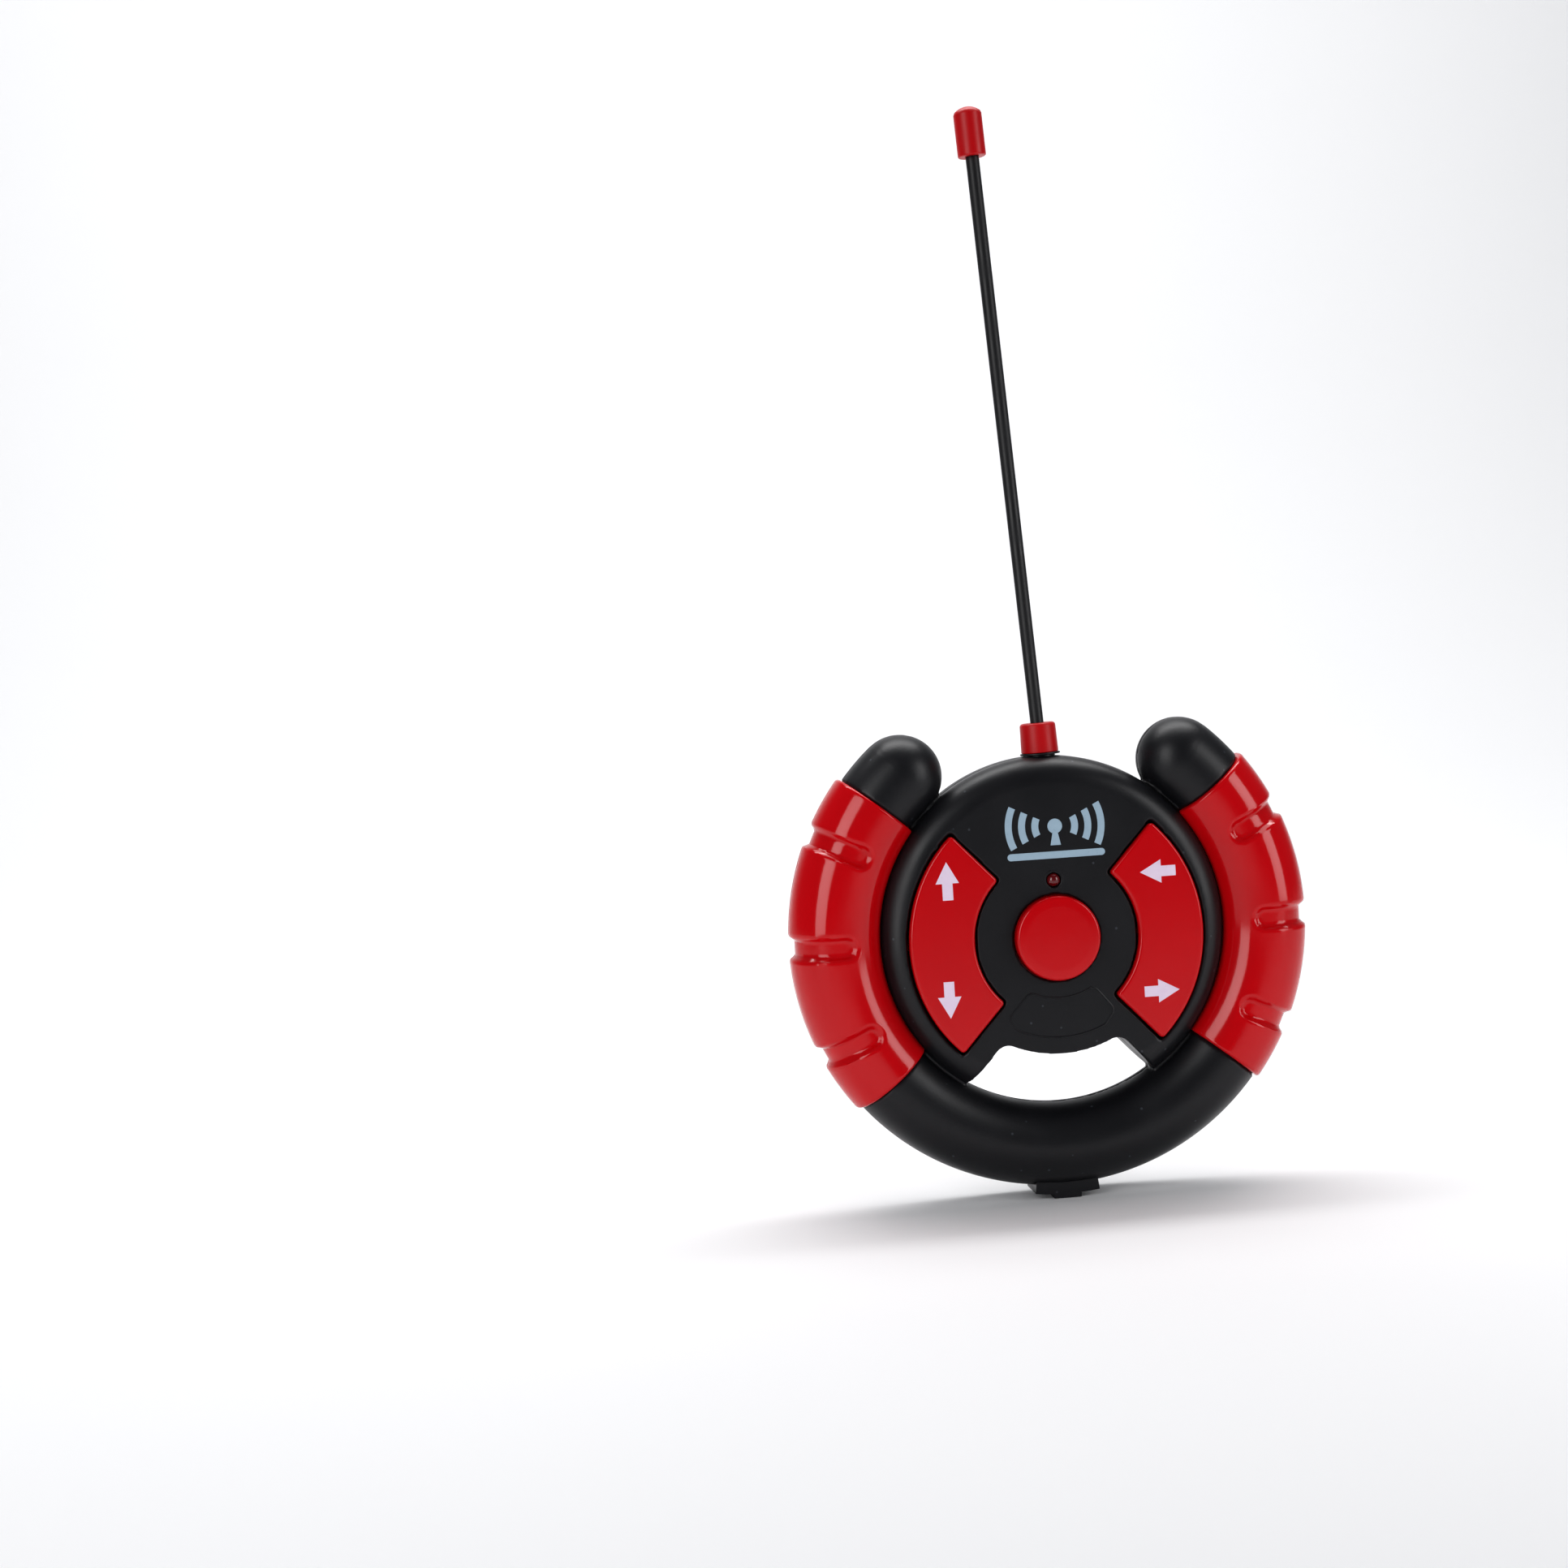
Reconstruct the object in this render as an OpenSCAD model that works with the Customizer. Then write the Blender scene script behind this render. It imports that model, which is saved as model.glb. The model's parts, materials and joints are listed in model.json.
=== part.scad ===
// Steering-wheel shaped radio transmitter for a toy car, with a rod antenna.
// Millimetres, +Z up, front towards -Y, origin under the foot that it stands on.
// Each piece is modelled in the wheel's own plane and stood up by in_place():
// there x is to the right, y is up and z points out of the front face.

/* [Wheel] */
// Height of the wheel's centre above the surface that the foot stands on
wheel_height = 76.5; // [76.2:0.1:78]
// Radius of the rim's centre line
rim_r = 61.6; // [61.4:0.1:61.8]
// Radius of the black rim tube
tube_r = 12; // [11.9:0.05:12.1]
// Angle of each horn's end, from the +x axis
horn_angle = 49; // [48:0.5:51]
// Radius of the red grips' tube
grip_r = 13.4; // [13.3:0.05:13.6]
// Half of the angle that each grip covers
grip_half = 39; // [37:0.5:40]
// Angle between a grip's finger grooves
groove_pitch = 25; // [23:0.5:26]
// Depth of a finger groove at the wheel's outer edge
groove_depth = 1.7; // [1.2:0.1:1.9]

/* [Hub] */
// Radius of the hub disc
hub_r = 49.9; // [49.8:0.05:50]
// Depth of the hub's flat front, and of its flat back, from the mid-plane
face_z = 11; // [10.9:0.05:11.1]
// Radius of the hub's rounded shoulder
shoulder_r = 8; // [7:0.25:8.5]
// Wall thickness of the shells
wall = 2; // [1.8:0.1:2.2]
// How far the controls' centre lies below the wheel's centre
hub_drop = 1.3; // [1:0.1:1.5]
// Radius of the upper edge of the opening under the hub
opening_r = 34.4; // [34:0.1:35]
// Radius of the opening's upper corners
opening_corner = 4; // [3:0.25:4.5]

/* [Controls] */
// Outer radius of a rocker
rocker_out = 42.1; // [42:0.05:42.3]
// Inner radius of a rocker
rocker_in = 23.6; // [23.3:0.05:24]
// Half of the angle that a rocker covers
rocker_half = 47.2; // [46:0.2:47.6]
// Height of a rocker's face in front of the mid-plane
rocker_top = 12.3; // [12:0.1:12.5]
// Gap round a rocker in the front shell
rocker_gap = 0.5; // [0.45:0.05:0.6]
// Radius of the centre button
button_r = 12; // [11.8:0.1:12.1]
// Height of the centre button's face in front of the mid-plane
button_top = 14.2; // [13.8:0.1:14.4]
// Height of the indicator lamp's centre above the wheel's centre
lamp_y = 15; // [15:0.1:15.4]
// Radius of the indicator lamp
lamp_r = 1.95; // [1.8:0.05:1.95]

/* [Batteries] */
// Length of one AA cell with its button
cell_length = 50.5; // [49.5:0.1:50.5]
// Diameter of one AA cell
cell_d = 14.2; // [13.8:0.1:14.3]
// Half width of the battery box outside
box_half_w = 33.5; // [33:0.1:34]
// Bottom edge of the battery box
box_low = -21.5; // [-21.7:0.1:-21.4]
// Top edge of the battery box
box_high = 24; // [24:0.1:24.4]
// Depth of the battery door's face behind the mid-plane
door_z = 21.4; // [21.3:0.1:21.8]

/* [Antenna] */
// Lean of the antenna's neck and collar, towards -x
neck_lean = 2; // [0:0.1:2.5]
// Further lean of the rod in the collar, towards -x
rod_lean = 1.3; // [0:0.1:1.4]
// Radius of the collar at its foot
collar_r = 5.3; // [5.2:0.05:5.5]
// Height of the collar
collar_h = 8.5; // [8.4:0.1:9]
// Radius of the rod
rod_r = 1.9; // [1.8:0.05:1.95]
// Distance from the rod's flange to the lower edge of the cap
rod_length = 163.2; // [120:0.1:180]
// Radius of the cap
cap_r = 4; // [3.8:0.1:4.3]
// Length of the cap
cap_length = 14; // [12:0.1:16]

/* [Hidden] */
$fn = 96;

black = "#1c1c20";
red = "#b8061a";
groove_end_r = 57.5;       // radius at which the grooves end
core_r = 11.2;             // outer radius of the rim inside the grips
core_wall = 1.6;
sleeve_r = core_r + 0.05;  // inner radius of a grip
black_from = grip_half + 0.25;  // angle at which the black rim tube starts
web_half = 2.5;            // half thickness of the web between hub and rim
bottom = 270;              // angle of the wheel's lowest point

// opening under the hub: side line, its inward normal and the corner's centre
side_top = [17.5, -31];
side_end = [36.5, -52.03];
side_length = norm(side_end - side_top);
side_along = (side_end - side_top) / side_length;
side_inward = [side_along[1], -side_along[0]];
corner_start = side_top + opening_corner * side_inward;
corner_dot = corner_start * side_along;
corner_reach = opening_r + opening_corner;
corner_shift = sqrt(pow(corner_dot, 2) - corner_start * corner_start + pow(corner_reach, 2)) - corner_dot;
corner = corner_start + corner_shift * side_along;

// rockers
pivot_z = 7;
pivot_r = 1.2;
pivot_play = 0.06;
rocker_foot = 5.5;         // height of a rocker's lower edge
rocker_plate = 2;
post_angle = 38;
post_at = (rocker_in + rocker_out) / 2;
post_foot = 4.6;
bracket_t = 1.6;
bracket_in = 21.9;         // outer side of the bracket next to the button
bracket_out = 42.9;        // inner side of the bracket next to the shoulder

// centre button
flange_r = 13;
flange_top = 8.8;
flange_t = 1.2;
button_play = 0.35;

// board and keypad
board_top = 1.6;
board_t = 1.6;
board_r = 38.4;
board_low = -28;
pad_t = 0.8;
dome_top = 3.5;
board_screw_at = [[10, 27], [-10, 27], [9, -24.5], [-9, -24.5]];

// screws
screw_r = 1.3;
screw_head_r = 2.6;
screw_head_h = 1.8;
screw_seat = -7;
screw_end = 5;
screw_hole_r = 1.6;
counterbore_r = 2.9;
boss_r = 4;
pilot_r = 1.32;
hub_screw_at = [[24.1, 34.4], [-24.1, 34.4]];
rim_screw_angles = [45, 135, bottom - 28, bottom + 28];
grip_screw_angles = [-12.5, 12.5, 167.5, 192.5];
grip_seat = -11.6;

// battery box
cell_r = cell_d / 2;
bay_half_w = 29;
bay_low = -17;
bay_high = 13;
bay_front = -4.6;
ledge_z = -19.4;           // face that the door rests on
cell_z = -12.1;
cell_y = [bay_low + 7.7, bay_high - 7.7];
plate_t = 0.4;
door_gap = 0.25;
door_low = box_low + 2.7;
door_high = box_high - 1.6;
door_half_w = box_half_w - 2.5;
door_screw_y = 18.3;
tab_x = [-15, 15];
tab_w = 8;

// antenna, along its own axis from the top of the hub
neck_at = [0.45, 0];
neck_r = 4.2;
neck_top = 6.4;
thread_play = 0.08;
flange_z = 6.8;            // middle of the rod's flange
core_wire_r = 0.8;

module in_place() {
    translate([0, 0, wheel_height])
        rotate([90, 0, 0])
            children();
}

module both_sides() {
    children();
    mirror([1, 0, 0])
        children();
}

// Half section of the hub disc: x is the radius and y the depth from the mid-plane.
module hub_section(r, depth, round_r) {
    intersection() {
        square([r, depth]);
        union() {
            square([r - round_r, depth]);
            square([r, depth - round_r]);
            translate([r - round_r, depth - round_r])
                circle(r = round_r);
        }
    }
}

module hub_solid(r, depth, round_r) {
    rotate_extrude()
        hub_section(r, depth, round_r);
}

// Front half of the rim tube's section: x is the radius and y the depth.
module tube_section(r_out, r_in) {
    intersection() {
        translate([rim_r, 0])
            difference() {
                circle(r = r_out);
                circle(r = r_in);
            }
        square([2 * rim_r, 2 * r_out]);
    }
}

// Sweeps its 2D children round the wheel's axis, from one angle to another.
module sweep(from, to) {
    rotate([0, 0, from])
        rotate_extrude(angle = to - from)
            children();
}

module rim_solid(r, from, to) {
    sweep(from, to)
        translate([rim_r, 0])
            circle(r = r);
}

// Front half of the hollow round end of the right-hand horn.
module horn_end() {
    rotate([0, 0, horn_angle])
        translate([rim_r, 0, 0])
            intersection() {
                difference() {
                    sphere(r = tube_r);
                    sphere(r = core_r - core_wall);
                }
                translate([-2 * tube_r, 0, 0])
                    cube([4 * tube_r, 2 * tube_r, 2 * tube_r]);
            }
}

// Outline of the opening under the hub; grow moves its top and sides outwards.
module opening_2d(grow) {
    low = side_end - grow * side_inward;
    high = side_top - 6 * side_along - grow * side_inward;
    difference() {
        polygon([high, low, [-low[0], low[1]], [-high[0], high[1]]]);
        circle(r = opening_r - grow);
        both_sides()
            opening_corner_2d(grow);
    }
}

// The piece that rounds one upper corner of the opening.
module opening_corner_2d(grow) {
    on_side = corner - (opening_corner + grow) * side_inward;
    on_arc = corner * (opening_r - grow) / norm(corner);
    beyond = on_side - 2 * opening_corner * side_along - side_inward;
    difference() {
        polygon([on_side, corner, on_arc, 0.9 * on_arc, beyond]);
        translate(corner)
            circle(r = opening_corner + grow + 0.03);
    }
}

module opening_cut(grow) {
    translate([0, 0, -2 * face_z])
        linear_extrude(4 * face_z)
            opening_2d(grow);
}

// Wedge with its point at the controls' centre; grow moves its sides outwards.
module wedge_2d(half, grow) {
    reach = 60;
    translate([-grow / sin(half), 0])
        polygon([
            [0, 0],
            [reach * cos(half), -reach * sin(half)],
            [2 * reach, 0],
            [reach * cos(half), reach * sin(half)]
        ]);
}

// Outline of the right-hand rocker about the controls' centre.
module rocker_2d(grow) {
    intersection() {
        difference() {
            circle(r = rocker_out + grow);
            circle(r = rocker_in - grow);
        }
        wedge_2d(rocker_half, grow);
    }
}

module at_controls() {
    translate([0, -hub_drop, 0])
        children();
}

// Section of the hub dish's wall.
module dish_section() {
    difference() {
        hub_section(hub_r, face_z, shoulder_r);
        hub_section(hub_r - wall, face_z - wall, shoulder_r - wall);
    }
}

// Section of the flat ring that ties the hub's side wall to the rim.
module web_section() {
    from = hub_r - wall / 2;
    to = rim_r - core_r + core_wall / 2;
    translate([from, 0])
        square([to - from, web_half]);
}

// One half of the body, alike at front and back: hub dish, rim and horns.
module shell_half() {
    difference() {
        union() {
            rotate_extrude()
                dish_section();
            sweep(183 - horn_angle, 357 + horn_angle)
                web_section();
            intersection() {
                hub_solid(hub_r - wall / 2, face_z - wall / 2, shoulder_r - wall / 2);
                opening_cut(wall);
            }
        }
        opening_cut(0);
    }
    both_sides() {
        sweep(-black_from, black_from)
            tube_section(core_r, core_r - core_wall);
        sweep(black_from, horn_angle)
            tube_section(tube_r, core_r - core_wall);
        horn_end();
    }
    sweep(180 + black_from, 360 - black_from)
        tube_section(tube_r, core_r - core_wall);
}

// Bosses inside one half, which end inside its wall.
module bosses(r) {
    for (p = hub_screw_at)
        translate([p[0], p[1], 0])
            cylinder(r = r, h = face_z - wall + 0.5);
    for (a = rim_screw_angles)
        rotate([0, 0, a])
            translate([rim_r, 0, 0])
                cylinder(r = r, h = core_r - 1.2);
    for (a = grip_screw_angles)
        rotate([0, 0, a])
            translate([rim_r, 0, 0])
                cylinder(r = r, h = core_r - 1);
}

// Places its children at every screw that joins the two shells.
module at_shell_screws() {
    for (p = hub_screw_at)
        translate([p[0], p[1], 0])
            children();
    for (a = rim_screw_angles)
        rotate([0, 0, a])
            translate([rim_r, 0, 0])
                children();
}

module at_grip_screws() {
    for (a = grip_screw_angles)
        rotate([0, 0, a])
            translate([rim_r, 0, 0])
                children();
}

// Frame of the antenna's neck: z runs along the collar's axis.
module at_neck() {
    translate([neck_at[0], hub_r + neck_at[1], 0])
        rotate([0, 0, neck_lean])
            rotate([-90, 0, 0])
                children();
}

// Holes in the shells for the antenna's neck and the foot's peg.
module seam_holes() {
    at_neck() {
        translate([0, 0, -6])
            cylinder(r = neck_r + 0.05, h = 12);
    }
    translate([0, -rim_r - tube_r + 4, 0])
        rotate([90, 0, 0])
            cylinder(r = 2.45, h = 8);
}

// Bracket plates that carry the right-hand rocker's pivots.
module rocker_brackets() {
    for (x = [bracket_in - bracket_t, bracket_out])
        difference() {
            translate([x, -3, pivot_z - 2.4])
                cube([bracket_t, 6, face_z - wall - pivot_z + 2.4]);
            translate([x - 1, 0, pivot_z])
                rotate([0, 90, 0])
                    cylinder(r = pivot_r + pivot_play, h = bracket_t + 2);
        }
}

module front_shell() {
    color(black)
        in_place() {
            difference() {
                union() {
                    shell_half();
                    bosses(3);
                    for (p = board_screw_at)
                        translate([p[0], p[1], board_top])
                            cylinder(r = 2.6, h = face_z - wall + 0.5 - board_top);
                    at_controls()
                        button_guide();
                }
                at_controls() {
                    both_sides()
                        translate([0, 0, board_top])
                            linear_extrude(face_z)
                                rocker_2d(rocker_gap);
                    translate([0, 0, board_top])
                        cylinder(r = button_r + button_play, h = 2 * face_z);
                }
                translate([0, lamp_y, 0])
                    cylinder(r = lamp_r + 0.1, h = 2 * face_z);
                for (p = board_screw_at)
                    translate([p[0], p[1], 0])
                        cylinder(r = 0.97, h = 8);
                translate([0, 0, -1])
                    at_shell_screws()
                        cylinder(r = pilot_r, h = 7.5);
                translate([0, 0, -1])
                    at_grip_screws()
                        cylinder(r = pilot_r, h = 7.5);
                seam_holes();
            }
            at_controls()
                both_sides()
                    rocker_brackets();
        }
}

// Ring that guides the button's flange, open beside the lamp.
module button_guide() {
    difference() {
        translate([0, 0, 5.5])
            cylinder(r = flange_r + 1.5, h = face_z - wall - 5);
        translate([0, 0, 5])
            cylinder(r = flange_r + 0.2, h = face_z - wall - 5);
        translate([-3, flange_r - 3, 5])
            cube([6, 6, face_z - wall - 5]);
    }
}

// Rectangle with round corners, from its lowest to its highest corner.
module round_rect(low, high, r) {
    translate([low[0] + r, low[1]])
        square([high[0] - low[0] - 2 * r, high[1] - low[1]]);
    translate([low[0], low[1] + r])
        square([high[0] - low[0], high[1] - low[1] - 2 * r]);
    for (x = [low[0] + r, high[0] - r])
        for (y = [low[1] + r, high[1] - r])
            translate([x, y])
                circle(r = r);
}

module box_block(low, high, r, z_low, z_high) {
    translate([0, 0, z_low])
        linear_extrude(z_high - z_low)
            round_rect(low, high, r);
}

module rear_shell() {
    color(black)
        in_place()
            difference() {
                union() {
                    mirror([0, 0, 1]) {
                        shell_half();
                        bosses(boss_r);
                    }
                    box_block([-box_half_w, box_low], [box_half_w, box_high], 6, -door_z, -face_z + wall);
                    box_block([-bay_half_w - 1.6, bay_low - 1.6], [bay_half_w + 1.6, bay_high + 1.6], 1,
                        -face_z, bay_front + 1.4);
                }
                // space above the cells, open to the inside
                translate([-box_half_w + wall, bay_high + 1.6, ledge_z + wall])
                    cube([2 * (box_half_w - wall), box_high - bay_high - 1.6 - wall, door_z]);
                translate([-bay_half_w, bay_low, -door_z - 1])
                    cube([2 * bay_half_w, bay_high - bay_low, door_z + 1 + bay_front]);
                box_block([-door_half_w, door_low], [door_half_w, door_high], 3.5, -door_z - 1, ledge_z);
                for (x = tab_x)
                    translate([x - tab_w / 2 - 0.3, door_low - 1.5, ledge_z - 0.1])
                        cube([tab_w + 0.6, 5, 2.8]);
                translate([0, door_screw_y, ledge_z - 1])
                    cylinder(r = 1.9, h = 5);
                // slots for the tails of the contact plates
                for (x = [-1, 1])
                    translate([x * (bay_half_w - plate_t / 2) - 0.3, cell_y[1] - 2, bay_front - 1])
                        cube([0.6, 4, 4]);
                at_shell_screws() {
                    translate([0, 0, -tube_r - 1])
                        cylinder(r = counterbore_r, h = tube_r + 1 + screw_seat);
                    translate([0, 0, -tube_r])
                        cylinder(r = screw_hole_r, h = tube_r + 1);
                }
                at_grip_screws()
                    translate([0, 0, -tube_r])
                        cylinder(r = screw_hole_r, h = tube_r + 1);
                seam_holes();
            }
}

// The foot: a band that hugs the rim and a flat block that stands on the floor.
module stand_foot() {
    color(black)
        in_place() {
            difference() {
                union() {
                    rotate([0, 0, bottom - 7.1])
                        rotate_extrude(angle = 14.2)
                            translate([rim_r + 9, -6])
                                square([tube_r - 9 + 1.75, 12]);
                    translate([-4, -wheel_height, -17])
                        cube([8, 6.5, 23]);
                }
                rim_solid(tube_r, bottom - 20, bottom + 20);
            }
            translate([0, -rim_r - tube_r + 4, 0])
                rotate([90, 0, 0])
                    cylinder(r = 2.4, h = 5.5);
        }
}

// Front half of the right-hand grip, with its three finger grooves.
module grip_half_shell() {
    difference() {
        sweep(-grip_half, grip_half)
            difference() {
                tube_section(grip_r, sleeve_r);
                hub_section(hub_r + 0.05, face_z, shoulder_r);
                square([rim_r - 8, web_half + 0.1]);
            }
        for (i = [-1:1])
            rotate([0, 0, i * groove_pitch])
                groove_ring();
    }
}

// Ring that cuts one finger groove round the outside, as far in as its blunt end.
module groove_ring() {
    cut_r = 4;
    difference() {
        translate([rim_r, 0, 0])
            rotate([90, 0, 0])
                rotate_extrude()
                    translate([grip_r - groove_depth + cut_r, 0])
                        circle(r = cut_r);
        translate([0, 0, -2 * grip_r])
            cylinder(r = groove_end_r, h = 4 * grip_r);
    }
}

module grip_rear_shell() {
    difference() {
        mirror([0, 0, 1])
            grip_half_shell();
        at_grip_screws() {
            translate([0, 0, -grip_r - 1])
                cylinder(r = counterbore_r, h = grip_r + 1 + grip_seat);
            translate([0, 0, -grip_r])
                cylinder(r = screw_hole_r, h = grip_r);
        }
    }
}

module right_grip_front() {
    color(red)
        in_place()
            grip_half_shell();
}

module right_grip_rear() {
    color(red)
        in_place()
            grip_rear_shell();
}

module left_grip_front() {
    color(red)
        in_place()
            mirror([1, 0, 0])
                grip_half_shell();
}

module left_grip_rear() {
    color(red)
        in_place()
            mirror([1, 0, 0])
                grip_rear_shell();
}

// Pan-head screw along z: its head is below the seat.
module pan_screw(seat, end, shank_r, head_r, head_h) {
    slot = 0.4;
    translate([0, 0, seat])
        cylinder(r = shank_r, h = end - seat - shank_r);
    translate([0, 0, end - shank_r])
        cylinder(r1 = shank_r, r2 = 0.3, h = shank_r, $fn = 48);
    difference() {
        translate([0, 0, seat - head_h])
            cylinder(r = head_r, h = head_h);
        for (a = [0, 90])
            rotate([0, 0, a])
                translate([-head_r * 0.65, -slot, seat - head_h - 0.1])
                    cube([head_r * 1.3, 2 * slot, 1]);
    }
}

module shell_screws() {
    color("silver")
        in_place()
            at_shell_screws()
                pan_screw(screw_seat, screw_end, screw_r, screw_head_r, screw_head_h);
}

module grip_screws() {
    color("silver")
        in_place()
            at_grip_screws()
                pan_screw(grip_seat, screw_end, screw_r, screw_head_r, 1.5);
}

// Right-hand rocker, about the controls' centre.
module rocker_body() {
    skirt = 1.6;
    difference() {
        translate([0, 0, rocker_foot])
            linear_extrude(rocker_top - rocker_foot)
                rocker_2d(0);
        translate([0, 0, rocker_foot - 1])
            linear_extrude(rocker_top - rocker_foot - rocker_plate + 1)
                rocker_2d(-skirt);
    }
    for (a = [-post_angle, post_angle])
        rotate([0, 0, a])
            translate([post_at, 0, post_foot])
                cylinder(r = 2.2, h = rocker_top - post_foot - 1);
    translate([bracket_in - bracket_t - 0.2, 0, pivot_z])
        rotate([0, 90, 0])
            cylinder(r = pivot_r, h = bracket_out - bracket_in + 2 * bracket_t + 0.4);
}

module right_rocker() {
    color(red)
        in_place()
            at_controls()
                rocker_body();
}

module left_rocker() {
    color(red)
        in_place()
            at_controls()
                mirror([1, 0, 0])
                    rocker_body();
}

module centre_button() {
    skirt = 1.6;
    color(red)
        in_place()
            at_controls() {
                rotate_extrude()
                    difference() {
                        union() {
                            hub_section(button_r, button_top, 1);
                            square([flange_r, flange_top]);
                        }
                        square([flange_r + 1, flange_top - flange_t]);
                        square([button_r - skirt, button_top - 2.2]);
                    }
                translate([0, 0, 5])
                    cylinder(r = 2.5, h = button_top - 6);
            }
}

// Silicone sheet with a dome under each end of the rockers and under the button.
module rubber_keypad() {
    color("dimgray")
        in_place()
            at_controls() {
                translate([0, 0, board_top])
                    linear_extrude(pad_t)
                        keypad_2d();
                for (a = [-post_angle, post_angle, 180 - post_angle, 180 + post_angle])
                    rotate([0, 0, a])
                        translate([post_at, 0, board_top])
                            cylinder(r1 = 4, r2 = 2.8, h = dome_top - board_top);
                translate([0, 0, board_top])
                    cylinder(r1 = 4.5, r2 = 3.2, h = dome_top - board_top);
            }
}

module keypad_2d() {
    edge = 5;
    circle(r = 8);
    square([2 * post_at, 8], center = true);
    both_sides()
        intersection() {
            difference() {
                circle(r = post_at + edge);
                circle(r = post_at - edge);
            }
            wedge_2d(rocker_half - 2, 0);
        }
}

module circuit_board() {
    color("#1f6b3a")
        in_place()
            translate([0, 0, board_top - board_t])
                difference() {
                    intersection() {
                        cylinder(r = board_r, h = board_t);
                        translate([-board_r, board_low, 0])
                            cube([2 * board_r, 2 * board_r, board_t]);
                    }
                    for (p = board_screw_at)
                        translate([p[0], p[1], -1])
                            cylinder(r = 1.2, h = board_t + 2);
                }
}

module board_screws() {
    color("silver")
        in_place()
            for (p = board_screw_at)
                translate([p[0], p[1], 0])
                    pan_screw(board_top - board_t, 7, 0.95, 2.1, 1.4);
}

// The encoder: a flat package with eight legs on each long side.
module encoder_chip() {
    body_w = 10;
    body_h = 4;
    leg_pitch = 1.27;
    legs = 7;
    color("#202022")
        in_place()
            translate([-12, 4, board_top - board_t]) {
                translate([-body_w / 2, -body_h / 2, -1.7])
                    cube([body_w, body_h, 1.5]);
                for (i = [0:legs - 1])
                    for (s = [-1, 1])
                        translate([(i - (legs - 1) / 2) * leg_pitch - 0.2, s * (body_h / 2 + 0.4) - 0.5, -1])
                            cube([0.4, 1, 1]);
            }
}

module crystal() {
    color("silver")
        in_place()
            translate([22, 23.5, board_top - board_t]) {
                translate([0, 0, -3.6])
                    linear_extrude(3.1)
                        round_rect([-5, -2], [5, 2], 1.9);
                translate([0, 0, -0.6])
                    linear_extrude(0.6)
                        round_rect([-5.5, -2.35], [5.5, 2.35], 2.2);
            }
}

// Shielded coil with its tuning slug.
module tuning_coil() {
    side = 7;
    color("silver")
        in_place()
            translate([0, 20.5, board_top - board_t]) {
                difference() {
                    translate([-side / 2, -side / 2, -7.5])
                        cube([side, side, 7.5]);
                    translate([0, 0, -8])
                        cylinder(r = 2.2, h = 2);
                }
                translate([0, 0, -6.9])
                    cylinder(r = 1.8, h = 1);
            }
}

module electrolytic_capacitors() {
    color("#20305a")
        in_place()
            for (x = [-14, -21])
                translate([x, 24, board_top - board_t - 7.5]) {
                    cylinder(r = 2.5, h = 7);
                    for (dx = [-1, 1])
                        translate([dx, 0, 7])
                            cylinder(r = 0.25, h = 0.5);
                }
}

module power_transistors() {
    color("#202022")
        in_place()
            for (x = [8, 16, 24])
                translate([x, 17.6, board_top - board_t - 6.5]) {
                    intersection() {
                        cylinder(r = 2.4, h = 4.6);
                        translate([-3, -1.4, 0])
                            cube([6, 6, 5]);
                    }
                    for (dx = [-1.27, 0, 1.27])
                        translate([dx - 0.2, -0.2, 4.6])
                            cube([0.4, 0.4, 1.9]);
                }
}

module resistors() {
    color("#c9a878")
        in_place()
            for (i = [0:4])
                translate([2 + 5 * i, 9 - 3.4 * (i % 2), board_top - board_t - 1.3]) {
                    rotate([-90, 0, 0])
                        cylinder(r = 0.9, h = 3.2);
                    for (y = [-0.5, 3.2])
                        translate([-0.25, y, -0.25])
                            cube([0.5, 0.5, 1.55]);
                }
}

// Round lamp on two legs, behind its hole in the front shell.
module status_lamp() {
    color("#8c0f14")
        in_place()
            translate([0, lamp_y, 0]) {
                translate([0, 0, 4.5])
                    cylinder(r = lamp_r, h = 5.5);
                translate([0, 0, 10])
                    sphere(r = lamp_r);
                translate([0, 0, 3.7])
                    cylinder(r = 2.3, h = 0.9);
                for (x = [-0.8, 0.8])
                    translate([x, 0, board_top])
                        cylinder(r = 0.25, h = 2.3);
            }
}

// One AA cell along x, with its button at the low end.
module cell() {
    nub = 1.2;
    low = -bay_half_w + plate_t + 0.1;
    translate([low, 0, 0])
        rotate([0, 90, 0]) {
            cylinder(r = 2.6, h = nub + 0.1);
            translate([0, 0, nub])
                cylinder(r = cell_r, h = cell_length - nub);
        }
}

module battery_cells() {
    color("#9c7a3c")
        in_place()
            for (i = [0, 1])
                mirror([i, 0, 0])
                    translate([0, cell_y[i], cell_z])
                        cell();
}

// Conical spring, as the stack of its turns.
module battery_springs() {
    turns = 4;
    wire_r = 0.45;
    start = -bay_half_w + plate_t + 0.1 + cell_length;
    free = bay_half_w - plate_t - start;
    color("silver")
        in_place()
            for (i = [0, 1])
                mirror([i, 0, 0])
                    translate([start, cell_y[i], cell_z])
                        rotate([0, 90, 0])
                            for (t = [0:turns - 1])
                                translate([0, 0, wire_r + t * (free - 2 * wire_r) / (turns - 1)])
                                    rotate_extrude()
                                        translate([2.4 + 0.9 * t, 0])
                                            circle(r = wire_r, $fn = 24);
}

module battery_plates() {
    size = 11;
    color("silver")
        in_place()
            for (side = [-1, 1]) {
                for (y = cell_y)
                    translate([side * (bay_half_w - plate_t / 2) - plate_t / 2, y - size / 2, cell_z - size / 2])
                        cube([plate_t, size, size]);
                translate([side * (bay_half_w - plate_t / 2) - plate_t / 2, cell_y[1] - 1.5, cell_z])
                    cube([plate_t, 3, -cell_z - 2.6]);
            }
}

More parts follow.
